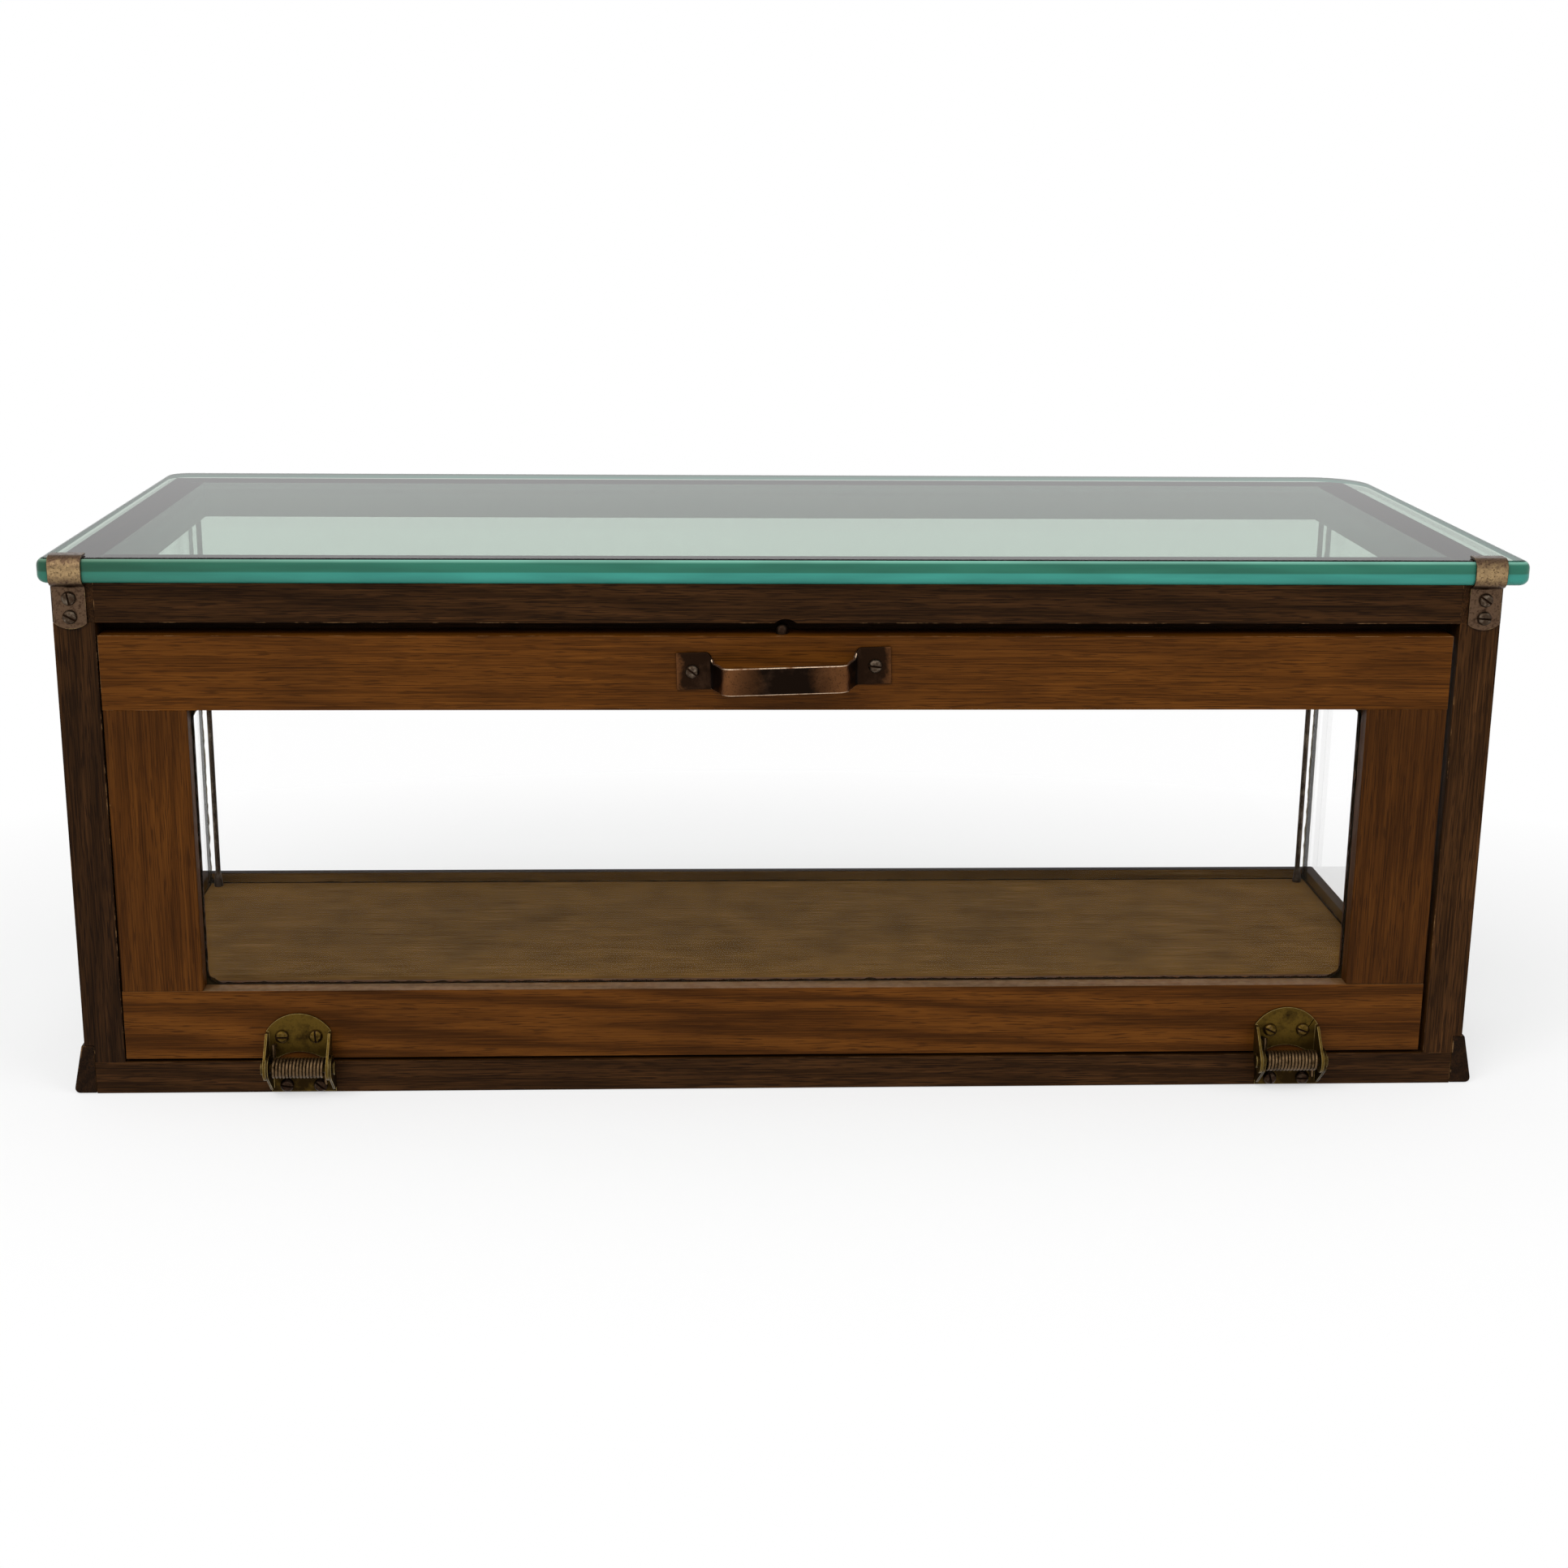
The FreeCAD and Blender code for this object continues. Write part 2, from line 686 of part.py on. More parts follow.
def panes():
    """Window glass on the floor's rabbet, in the grooves of posts and top rails."""
    low = size.sill_height
    high = groove_top - size.pane_play
    start = floor_far + size.pane_play
    edge = skirt - size.pane_play
    pane = box((-edge, start, low), (edge, start + size.pane_thickness, high))
    piece("pane_far", pane)
    near = post_back - size.post_groove + size.pane_play
    for side, name in ((-1, "left"), (1, "right")):
        within = floor_edge + size.pane_play
        left, right = across(side, within, within + size.pane_thickness)
        piece(f"pane_{name}", box((left, near, low), (right, floor_far, high)))


def glass_top():
    body = new_body("glass_top")
    left = -half - size.plate_left
    right = half + size.plate_right
    near = front - size.plate_front
    wide = far + size.plate_far
    plan = sketch_on(body, "XY_Plane", frame_top)
    outline(
        plan,
        (left, near),
        ("line", (right, near)),
        ("line", (right, wide)),
        ("line", (left, wide)),
    )
    slab = pad(body, plan, size.plate_thickness)
    doc.recompute()
    upright = [
        f"Edge{number}"
        for number, edge in enumerate(slab.Shape.Edges, start=1)
        if edge.BoundBox.ZLength > size.plate_thickness.number / 2
    ]
    corners = rounded(body, slab, upright, size.plate_corner)
    level = [
        f"Face{number}"
        for number, face in enumerate(corners.Shape.Faces, start=1)
        if face.BoundBox.ZLength < size.plate_thickness.number / 2
    ]
    bevel = body.newObject("PartDesign::Chamfer", "Bevel")
    bevel.Base = (corners, level)
    bind(bevel, "Size", size.plate_bevel)


# Tie rods and the clips of the glass top

def tie_rods():
    """Rods that tie the far corners of the top frame down to the floor."""
    seat = frame_top - size.counterbore_depth
    nut_top = seat + size.nut_height
    feet = []
    nuts = []
    for side, name in ((-1, "left"), (1, "right")):
        spot = (side * rod_x, rod_y)
        low = floor_top - size.rod_depth
        length = nut_top + size.rod_end - low
        piece(f"tie_rod_{name}", cylinder("Z", (*spot, low), length, size.rod_diameter))
        base = (*spot, floor_top)
        sleeve = prism("Z", base, size.foot_height, size.foot_diameter, size.head_sides)
        bore = rod_hole(side, floor_top, floor_top + size.foot_height, size.rod_clearance)
        feet.append(cut(sleeve, bore))
        reach = size.nut_width / 2
        low_corner = (spot[0] - reach, spot[1] - reach, seat)
        block = box(low_corner, (spot[0] + reach, spot[1] + reach, nut_top))
        nuts.append(cut(block, rod_hole(side, seat, nut_top, size.rod_clearance)))
    piece("tie_rod_feet", group(*feet))
    piece("tie_rod_nuts", group(*nuts))


def clip_outline(drawing):
    """Bent strap in side view: over the glass, round its front edge, then back to the wood."""
    over = front - size.plate_front
    middle = over + size.plate_arris
    upper = plate_top - size.plate_arris
    lower = frame_top + size.plate_arris
    hug = size.plate_arris + size.clip_gap
    skin = hug + size.clip_thickness
    span = skin + size.clip_bend
    shift = front - size.clip_thickness - size.clip_bend - middle
    drop = root(span * span - shift * shift)
    landing = lower - drop
    tail = frame_top - size.clip_end
    end = over + size.clip_hook
    back_turn = (middle + shift * hug / span, lower - drop * hug / span)
    face_turn = (middle + shift * skin / span, lower - drop * skin / span)
    outline(
        drawing,
        (end, plate_top + size.clip_gap),
        ("line", (middle, plate_top + size.clip_gap)),
        ("arc", (over - size.clip_gap, upper), hug, 1),
        ("line", (over - size.clip_gap, lower)),
        ("arc", back_turn, hug, 1),
        ("arc", (front, landing), size.clip_bend + size.clip_thickness, -1),
        ("line", (front, tail)),
        ("line", (front - size.clip_thickness, tail)),
        ("line", (front - size.clip_thickness, landing)),
        ("arc", face_turn, size.clip_bend, 1),
        ("arc", (middle - skin, lower), skin, -1),
        ("line", (middle - skin, upper)),
        ("arc", (middle, plate_top + size.clip_gap + size.clip_thickness), skin, -1),
        ("line", (end, plate_top + size.clip_gap + size.clip_thickness)),
    )


def glass_clips():
    reach = size.clip_width / 2
    tail = frame_top - size.clip_end
    bow = (reach * reach + size.clip_sag * size.clip_sag) / (2 * size.clip_sag)
    for side, name in ((-1, "left"), (1, "right")):
        body = new_body(f"glass_clip_{name}")
        middle = side * (half - size.clip_inset)
        strap = sketch_on(body, "YZ_Plane", middle)
        clip_outline(strap)
        pad(body, strap, size.clip_width, both_ways=True)
        ending = sketch_on(body, "XZ_Plane")
        outline(
            ending,
            (middle - reach, tail + size.clip_sag),
            ("arc", (middle + reach, tail + size.clip_sag), bow, 1),
            ("line", (middle + reach, tail - size.clip_sag)),
            ("line", (middle - reach, tail - size.clip_sag)),
        )
        pocket(body, ending)
        holes = sketch_on(body, "XZ_Plane")
        screw_openings(holes, clip_screws(side))
        pocket(body, holes)


def screw(x, seat, z):
    """Screw whose raised head lies on a metal face at seat."""
    top = (x, seat - size.screw_head_height, z)
    head = prism("Y", top, size.screw_head_height, size.screw_head, size.head_sides)
    length = front + size.screw_length - seat
    return fused(head, prism("Y", (x, seat, z), length, size.screw_shank, size.shank_sides))


def screw_group(label, thickness, spots):
    seat = front - thickness
    piece(label, group(*(screw(x, seat, z) for x, z in spots)))


# Door

def stile_tenon(side, low, high):
    """Stub tenon of a stile, clear of the rabbet for the pane."""
    edge, sight = (door_left, sight_left) if side < 0 else (sight_right, door_right)
    margin = size.door_tenon_margin
    rabbet = size.door_rabbet
    left = edge + margin if side < 0 else edge + rabbet + margin
    right = sight - rabbet - margin if side < 0 else sight - margin
    start = front + size.door_tenon_front
    return box((left, start, low), (right, start + size.door_tenon_thickness, high))


def pull_screws():
    reach = size.pull_spacing / 2
    sideways = reach * cosine(size.pull_tilt)
    upwards = reach * sine(size.pull_tilt)
    return [(pull_x - sideways, pull_z - upwards), (pull_x + sideways, pull_z + upwards)]


def stud_hole():
    spot = (stud_x, front + size.stud_setback, door_top - size.stud_depth)
    return cylinder("Z", spot, size.stud_depth, size.stud_shank + 2 * size.screw_clearance)


def door_rails():
    left = sight_left - size.door_rabbet
    right = sight_right + size.door_rabbet
    low = sight_top
    bar = box((door_left, front, low), (door_right, door_back, door_top))
    cuts = [box((left, pane_front, low), (right, door_back, low + size.door_rabbet))]
    cuts.extend(stile_tenon(side, low, low + size.door_tenon) for side in (-1, 1))
    cuts.extend(screw_hole(*spot) for spot in pull_screws())
    cuts.append(stud_hole())
    piece("door_top_rail", cut(bar, *cuts))
    high = sight_bottom
    bar = box((door_left, front, door_bottom), (door_right, door_back, high))
    cuts = [box((left, pane_front, high - size.door_rabbet), (right, door_back, high))]
    cuts.extend(stile_tenon(side, high - size.door_tenon, high) for side in (-1, 1))
    for name in hinge_spots:
        cuts.extend(screw_hole(*spot) for spot in door_leaf_screws(name))
    piece("door_bottom_rail", cut(bar, *cuts))


def door_stiles():
    rabbet = size.door_rabbet
    ranges = {
        "left": (-1, door_left, sight_left, sight_left - rabbet, sight_left),
        "right": (1, sight_right, door_right, sight_right, sight_right + rabbet),
    }
    for name, (side, left, right, rabbet_left, rabbet_right) in ranges.items():
        bar = box((left, front, sight_bottom), (right, door_back, sight_top))
        lower = stile_tenon(side, sight_bottom - size.door_tenon, sight_bottom)
        upper = stile_tenon(side, sight_top, sight_top + size.door_tenon)
        step = box((rabbet_left, pane_front, sight_bottom), (rabbet_right, door_back, sight_top))
        piece(f"door_stile_{name}", cut(fused(bar, lower, upper), step))


def door_glass():
    reach = size.door_rabbet - size.pane_play
    low = (sight_left - reach, pane_front, sight_bottom - reach)
    high = (sight_right + reach, pane_front + size.pane_thickness, sight_top + reach)
    piece("door_pane", box(low, high))


def bead(label, role, middle, length, seat, sight, sign):
    """Bevelled strip that keeps the door's pane in; sign is the way from its seat to the opening."""
    body = new_body(label)
    section = sketch_on(body, role, middle)
    glass = pane_front + size.pane_thickness + size.bead_gap
    bevel = size.bead_bevel
    corners = [
        (seat, glass),
        (seat, door_back),
        (sight - sign * bevel, door_back),
        (sight, door_back - bevel),
        (sight, glass),
    ]
    if role == "YZ_Plane":
        corners = [(depth, height) for height, depth in corners]
    outline(section, corners[0], *(("line", spot) for spot in corners[1:]))
    pad(body, section, length, both_ways=True)


def door_beads():
    rim = size.door_rabbet - size.bead_gap
    gap = size.bead_gap
    wide = sight_right - sight_left + 2 * rim
    middle = (sight_left + sight_right) / 2
    bead("door_bead_top", "YZ_Plane", middle, wide, sight_top + rim, sight_top + gap, -1)
    bead("door_bead_bottom", "YZ_Plane", middle, wide, sight_bottom - rim, sight_bottom - gap, 1)
    tall = sight_top - sight_bottom
    middle = (sight_top + sight_bottom) / 2
    bead("door_bead_left", "XY_Plane", middle, tall, sight_left - rim, sight_left - gap, 1)
    bead("door_bead_right", "XY_Plane", middle, tall, sight_right + rim, sight_right + gap, -1)


def tilted(item):
    """Turn a piece of the pull with the pull and carry it to the pull's place on the door."""
    item.Placement.Rotation = FreeCAD.Rotation(FreeCAD.Vector(0, -1, 0), size.pull_tilt.number)
    item.setExpression("Placement.Rotation.Angle", f"{size.pull_tilt.formula} * 1 deg")
    place(item, pull_x, front, pull_z)


def pull_handle():
    """Strap bent to a bar on two legs, drawn about the middle between its screws."""
    body = new_body("pull_handle")
    end = size.pull_length / 2
    leg = size.pull_leg / 2
    bend = size.pull_bend
    thin = size.pull_thickness / 2
    tight = bend - thin
    wide = bend + thin
    first = -thin - bend
    last = thin + bend - size.pull_projection
    bar_front = -size.pull_projection
    bar_back = 2 * thin - size.pull_projection
    low = -size.pull_screw_rise
    plan = sketch_on(body, "XY_Plane", low)
    outline(
        plan,
        (-end, as_size(0)),
        ("line", (-end, -2 * thin)),
        ("line", (-leg - bend, -2 * thin)),
        ("arc", (-leg - thin, first), tight, -1),
        ("line", (-leg - thin, last)),
        ("arc", (bend - leg, bar_front), wide, 1),
        ("line", (leg - bend, bar_front)),
        ("arc", (leg + thin, last), wide, 1),
        ("line", (leg + thin, first)),
        ("arc", (leg + bend, -2 * thin), tight, -1),
        ("line", (end, -2 * thin)),
        ("line", (end, as_size(0))),
        ("line", (leg + bend, as_size(0))),
        ("arc", (leg - thin, first), wide, 1),
        ("line", (leg - thin, last)),
        ("arc", (leg - bend, bar_back), tight, -1),
        ("line", (bend - leg, bar_back)),
        ("arc", (thin - leg, last), tight, -1),
        ("line", (thin - leg, first)),
        ("arc", (-leg - bend, as_size(0)), wide, 1),
    )
    pad(body, plan, size.pull_tab)
    top = low + size.pull_tab
    bar_top = low + size.pull_bar
    above = top + size.pull_shoulder
    start = -2 * thin
    reach = top - bar_top
    trim = sketch_on(body, "YZ_Plane")
    outline(
        trim,
        (start, top),
        ("arc", (start - reach, bar_top), size.pull_shoulder, -1),
        ("line", (bar_front - size.pull_shoulder, bar_top)),
        ("line", (bar_front - size.pull_shoulder, above)),
        ("line", (start, above)),
    )
    pocket(body, trim)
    holes = sketch_on(body, "XZ_Plane")
    screw_openings(holes, [(way * size.pull_spacing / 2, as_size(0)) for way in (-1, 1)])
    pocket(body, holes)
    tilted(body)


def door_stud():
    spot = (stud_x, front + size.stud_setback)
    shank = cylinder("Z", (*spot, door_top - size.stud_depth), size.stud_depth, size.stud_shank)
    head = cylinder("Z", (*spot, door_top), size.stud_height, size.stud_diameter)
    piece("door_stud", fused(shank, head))


# Spring hinges

def leaf(label, side, up):
    """Stamped leaf with two ears; up is 1 for the leaf on the door, -1 for the one on the sill."""
    body = new_body(label)
    reach = size.leaf_width / 2
    edge = up * size.leaf_edge
    arch = size.arch_width / 2
    bow = (arch * arch + size.arch_rise * size.arch_rise) / (2 * size.arch_rise)
    plate = sketch_on(body, "XZ_Plane")
    steps = [
        ("line", (-arch, edge)),
        ("arc", (arch, edge), bow, -up),
        ("line", (reach, edge)),
    ]
    if up > 0:
        rise = size.leaf_crown - size.leaf_chord
        crown = (reach * reach + rise * rise) / (2 * rise)
        steps.append(("line", (reach, size.leaf_chord)))
        steps.append(("arc", (-reach, size.leaf_chord), crown, 1))
    else:
        steps.append(("line", (reach, -size.leaf_trim)))
        steps.append(("line", (-reach, -size.leaf_trim)))
    outline(plate, (-reach, edge), *steps)
    pad(body, plate, size.leaf_thickness)
    ear_top = size.leaf_chord if up > 0 else -size.base_ear
    for offset in (-reach, reach - size.leaf_thickness):
        ear = sketch_on(body, "YZ_Plane", offset)
        outline(
            ear,
            (as_size(0), edge),
            ("line", (as_size(0), ear_top)),
            ("line", (-size.ear_shoulder, ear_top)),
            ("round", (-size.hinge_offset, as_size(0)), size.ear_radius, up),
            ("line", (as_size(0), edge)),
        )
        pad(body, ear, size.leaf_thickness)
    bore = sketch_on(body, "YZ_Plane")
    spot = (-size.hinge_offset, as_size(0))
    circle(bore, spot, size.pin_diameter + 2 * size.pin_clearance)
    pocket(body, bore)
    holes = sketch_on(body, "XZ_Plane")
    height = size.hinge_screw_rise if up > 0 else -size.hinge_screw_drop
    screw_openings(holes, [(way * size.hinge_screw_spacing / 2, height) for way in (-1, 1)])
    pocket(body, holes)
    place(body, hinge_spots[side] - up * stagger, front, axis_z)


def hinge_pin(side):
    reach = size.leaf_width / 2 + stagger + size.ear_gap
    start = hinge_spots[side] - reach
    rod = cylinder("X", (start, axis_y, axis_z), 2 * reach, size.pin_diameter)
    near = (start - size.pin_head_height, axis_y, axis_z)
    near_head = prism("X", near, size.pin_head_height, size.pin_head, size.head_sides)
    wide = (start + 2 * reach, axis_y, axis_z)
    wide_head = prism("X", wide, size.pin_head_height, size.pin_head, size.head_sides)
    piece(f"hinge_pin_{side}", fused(rod, near_head, wide_head))


def biarc(start, leave, end, arrive):
    """Two arcs that join smoothly and match a point and a direction at each end."""
    gap = end - start
    both = leave + arrive
    slack = 2 * (1 - leave.dot(arrive))
    lean = gap.dot(both)
    reach = (math.sqrt(lean ** 2 + slack * gap.dot(gap)) - lean) / slack
    joint = (start + leave * reach + end - arrive * reach) * 0.5
    return [tangent_arc(start, leave, joint), tangent_arc(end, -arrive, joint)]


def tangent_arc(start, direction, end):
    chord = end - start
    height = chord - direction * chord.dot(direction)
    radius = chord.dot(chord) / (2 * height.Length)
    middle = start + height.normalize() * radius
    halfway = ((start + end) * 0.5 - middle).normalize()
    return Part.Arc(start, middle + halfway * radius, end)


def corner_arc(start, before, after, radius):
    """Quarter bend from one direction to another square to it."""
    middle = start + after * radius
    halfway = middle + (before - after).normalize() * radius
    return Part.Arc(start, halfway, middle + before * radius)


def spring_path():
    """Middle line of the spring's wire: door leaf, turns round the pin, base leaf."""
    radius = size.spring_diameter.number / 2
    turns = int(size.spring_turns.number)
    pitch = size.spring_length.number / turns
    bend = size.spring_bend.number
    seat = -size.leaf_thickness.number - size.spring_seat.number
    towards = FreeCAD.Vector(0, 1, 0)

    def turn_point(angle):
        x = pitch * angle / (2 * math.pi) - size.spring_length.number / 2
        y = radius * math.cos(angle) - size.hinge_offset.number
        return FreeCAD.Vector(x, y, -radius * math.sin(angle))

    def turn_way(angle):
        climb = pitch / (2 * math.pi)
        way = FreeCAD.Vector(climb, -radius * math.sin(angle), -radius * math.cos(angle))
        return way.normalize()

    angles = [math.pi * number for number in range(2 * turns + 1)]
    down = turn_way(0)
    straight = (size.spring_leg.number - bend) / -down.z
    first = turn_point(0)
    last = turn_point(angles[-1])
    upper = first - down * straight
    upper_bend = upper - down * bend + towards * bend
    upper_tip = FreeCAD.Vector(upper_bend.x, seat, upper_bend.z)
    lower = last + down * straight
    lower_bend = lower + down * bend + towards * bend
    lower_tip = FreeCAD.Vector(lower_bend.x, seat, lower_bend.z)
    path = [
        Part.LineSegment(upper_tip, upper_bend),
        corner_arc(upper_bend, -towards, down, bend),
        Part.LineSegment(upper, first),
    ]
    for start, end in zip(angles, angles[1:]):
        ahead, behind = biarc(turn_point(start), turn_way(start), turn_point(end), turn_way(end))
        behind.reverse()
        path.extend((ahead, behind))
    path.append(Part.LineSegment(last, lower))
    path.append(corner_arc(lower, down, towards, bend))
    path.append(Part.LineSegment(lower_bend, lower_tip))
    return path


def least_gap(path):
    """Smallest space between two stretches of the wire that lie over half a turn apart."""
    points = []
    along = 0.0
    samples_per_arc = 12
    for curve in path:
        edge = curve.toShape()
        step = edge.Length / samples_per_arc
        for number in range(samples_per_arc):
            points.append((along + step * number, edge.getParameterByLength(step * number), edge))
        along += edge.Length
    spots = [(distance, edge.valueAt(parameter)) for distance, parameter, edge in points]
    apart = math.pi * size.spring_diameter.number / 2
    nearest = min(
        spot.distanceToPoint(other)
        for number, (distance, spot) in enumerate(spots)
        for further, other in spots[number + 1:]
        if further - distance > apart
    )
    return nearest - size.spring_wire.number


def wire_section(middle):
    """Section of the spring wire at its tip, with flats in place of the round."""
    sides = int(size.spring_sides.number)
    radius = size.spring_wire.number / 2
    corners = []
    for number in range(sides + 1):
        angle = 2 * math.pi * number / sides
        corners.append(middle + FreeCAD.Vector(math.cos(angle), 0, math.sin(angle)) * radius)
    return Part.makePolygon(corners)


def hinge_springs():
    path = spring_path()
    print("least gap of the spring to itself:", round(least_gap(path), 3), "mm")
    wire = Part.Wire([curve.toShape() for curve in path])
    section = wire_section(path[0].StartPoint)
    tube = wire.makePipeShell([section], True, False)
    swept = Part.Face(section).Area * wire.Length
    print("spring volume over section times length:", round(tube.Volume / swept, 4))
    springs = []
    for side, x in hinge_spots.items():
        spring = doc.addObject("Part::Feature", f"Spring_{side}")
        spring.Shape = tube
        place(spring, x, front, axis_z)
        springs.append(spring)
    piece("hinge_springs", group(*springs))


def build():
    sill_rail()
    floor_panel()
    base_mouldings()
    posts()
    side_rails()
    header_rail()
    far_rail()
    panes()
    glass_top()
    tie_rods()
    glass_clips()
    screw_group("clip_screws", size.clip_thickness, clip_screws(-1) + clip_screws(1))
    door_rails()
    door_stiles()
    door_glass()
    door_beads()
    pull_handle()
    screw_group("pull_screws", size.pull_thickness, pull_screws())
    door_stud()
    for side in hinge_spots:
        leaf(f"hinge_door_leaf_{side}", side, 1)
        leaf(f"hinge_base_leaf_{side}", side, -1)
        hinge_pin(side)
    spots = door_leaf_screws("left") + door_leaf_screws("right")
    screw_group("hinge_door_screws", size.leaf_thickness, spots)
    spots = base_leaf_screws("left") + base_leaf_screws("right")
    screw_group("hinge_base_screws", size.leaf_thickness, spots)
    hinge_springs()


def write_parts():
    doc.recompute()
    for item in doc.Objects:
        if "Invalid" in item.State or "Error" in item.State:
            raise RuntimeError(f"{item.Label} did not build: {item.State}")
    for item in pieces:
        if item.Shape.isNull() or not item.Shape.isValid() or not item.Shape.Solids:
            raise RuntimeError(f"{item.Label} has no sound shape")
    os.makedirs("parts", exist_ok=True)
    for item in pieces:
        item.Shape.exportStep(f"parts/{item.Label}.step")
    print(len(pieces), "parts written")


build()
write_parts()
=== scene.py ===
"""Looks of an old shop-counter display case: oak frame, plate glass top, drop-down glazed door."""

import math

import bpy
from bpy.props import FloatProperty, FloatVectorProperty, IntProperty, PointerProperty
from bpy.types import Operator, Panel, PropertyGroup
from mathutils import Matrix, Vector


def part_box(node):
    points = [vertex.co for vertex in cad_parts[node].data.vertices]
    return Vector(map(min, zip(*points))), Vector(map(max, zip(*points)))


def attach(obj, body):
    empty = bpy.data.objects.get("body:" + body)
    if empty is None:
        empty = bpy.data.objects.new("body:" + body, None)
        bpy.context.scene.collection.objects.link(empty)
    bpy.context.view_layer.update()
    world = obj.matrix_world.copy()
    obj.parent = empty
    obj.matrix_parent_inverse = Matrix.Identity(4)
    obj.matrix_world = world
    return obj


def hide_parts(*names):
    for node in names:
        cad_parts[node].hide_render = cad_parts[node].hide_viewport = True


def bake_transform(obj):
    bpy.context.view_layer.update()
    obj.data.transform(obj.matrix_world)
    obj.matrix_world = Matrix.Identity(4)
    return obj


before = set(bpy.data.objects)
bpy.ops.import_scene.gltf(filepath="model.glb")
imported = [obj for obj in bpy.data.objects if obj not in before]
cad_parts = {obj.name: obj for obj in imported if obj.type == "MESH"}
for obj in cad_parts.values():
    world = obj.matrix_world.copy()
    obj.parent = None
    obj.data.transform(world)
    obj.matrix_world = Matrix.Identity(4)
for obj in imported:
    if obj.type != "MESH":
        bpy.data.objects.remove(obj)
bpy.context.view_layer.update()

bl_info = {
    "name": "Display case",
    "version": (1, 0, 0),
    "blender": (4, 5, 0),
    "location": "View3D > Sidebar > Case",
    "description": "Builds the visible pieces of an oak and plate glass counter case",
    "category": "Object",
}

MM = 0.001
# Points nearer than SAME_POINT are merged, and a point within NEAR of a plane or corner lies on it.
SAME_POINT = 0.002 * MM
NEAR = 0.1 * MM
# A face looks along a direction when its normal has this share of it.
FACING = 0.9
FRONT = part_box("door_top_rail")[0].y
# Pieces in these slots are lit by a lamp of their own, which shows in their gloss and not in the glass.
METAL_SLOTS = ("clip_metal", "pull_metal", "hinge_metal", "spring_wire", "screw_steel", "rod_steel")
GLINTING = "glinting metal"


def linear(code):
    """Linear colour of an sRGB hex code, with full alpha."""
    channels = [int(code[start:start + 2], 16) / 255 for start in (1, 3, 5)]
    curved = [c / 12.92 if c <= 0.04045 else ((c + 0.055) / 1.055) ** 2.4 for c in channels]
    return (*curved, 1.0)


def colour(name, description, code):
    return FloatVectorProperty(
        name=name, description=description, default=linear(code), size=4, min=0, max=1, subtype="COLOR"
    )


def length(name, description, millimetres):
    return FloatProperty(name=name, description=description, default=millimetres * MM, unit="LENGTH")


class CaseSizes(PropertyGroup):
    """Sizes of the details that the solids leave plain."""

    timber_edge: length("Timber edge", "Rounded arris of the frame timber", 0.3)
    door_edge: length("Door edge", "Rounded arris of the door timber", 0.8)
    metal_edge: length("Metal edge", "Dulled edge of the strap metal", 0.28)
    pull_edge: length("Pull edge", "Rounded edge of the pull's strap", 0.5)
    pull_strap: length("Pull strap", "Thickness of the pull's strap", 1.5)
    pull_length: length("Pull length", "Pull over its tabs", 108.0)
    pull_leg: length("Pull legs", "Between the middles of the pull's legs", 67.0)
    pull_splay: length("Pull splay", "Legs of the pull lean out by this at bar and tabs", 1.8)
    pull_bend: length("Pull bend", "Bend from the pull's bar to its legs", 5.5)
    pull_foot: length("Pull foot", "Bend from the pull's legs to its tabs", 3.5)
    pull_tab: length("Pull tab", "Height of the pull's tabs", 19.0)
    pull_bar: length("Pull bar", "Height of the pull's bar", 14.0)
    pull_tilt: FloatProperty(
        name="Pull tilt", description="Right end of the pull stands higher",
        default=math.radians(1.8), unit="ROTATION",
    )
    glass_edge: length("Pane edge", "Seamed edge of the window glass", 0.4)
    plate_corner: length("Plate corner", "Radius of the near corners of the glass top in plan", 6.0)
    plate_far_left: length("Plate far left", "Radius of the far left corner in plan", 14.0)
    plate_far_right: length("Plate far right", "Radius of the far right corner in plan", 34.0)
    plate_reach: length("Plate reach", "Widening of the glass top at each end", 3.4)
    moulding_top: length("Moulding top", "Width of the base mouldings at the top", 6.6)
    moulding_edge: length("Moulding edge", "Rounded arrises of the base mouldings", 0.8)
    moulding_toe: length("Moulding toe", "Rounded lower edge of the base mouldings", 3.2)
    plate_arris: length("Plate arris", "Rounded edge of the glass top", 4.0)
    stud_head: length("Stud head", "Height of the stud's head", 5.7)
    stud_dome: length("Stud dome", "Rounding of the stud's head", 2.6)
    foot_top: length("Rod foot top", "Radius of a tie rod's foot at its top", 1.9)
    foot_edge: length("Rod foot edge", "Rounded edges of a tie rod's foot", 0.5)
    spring_wire: length("Spring wire", "Diameter of the spring wire", 1.55)
    spring_radius: length("Spring radius", "Radius of the spring at mid-wire", 4.6)
    spring_span: length("Spring span", "First to last turn of a spring", 26.5)
    spring_leg: length("Spring leg", "Reach of a spring's ends from the pin", 13.0)
    spring_seat: length("Spring seat", "Where a spring's ends meet the leaves, ahead of the door", 1.35)
    spring_bend: length("Spring bend", "Bend at a spring's ends", 2.0)
    spring_turns: IntProperty(name="Spring turns", description="Turns of a spring", default=15, min=3)
    slot_width: length("Screw slot", "Width of a screw's slot", 1.0)
    slot_depth: length("Slot depth", "Depth of a screw's slot", 1.1)


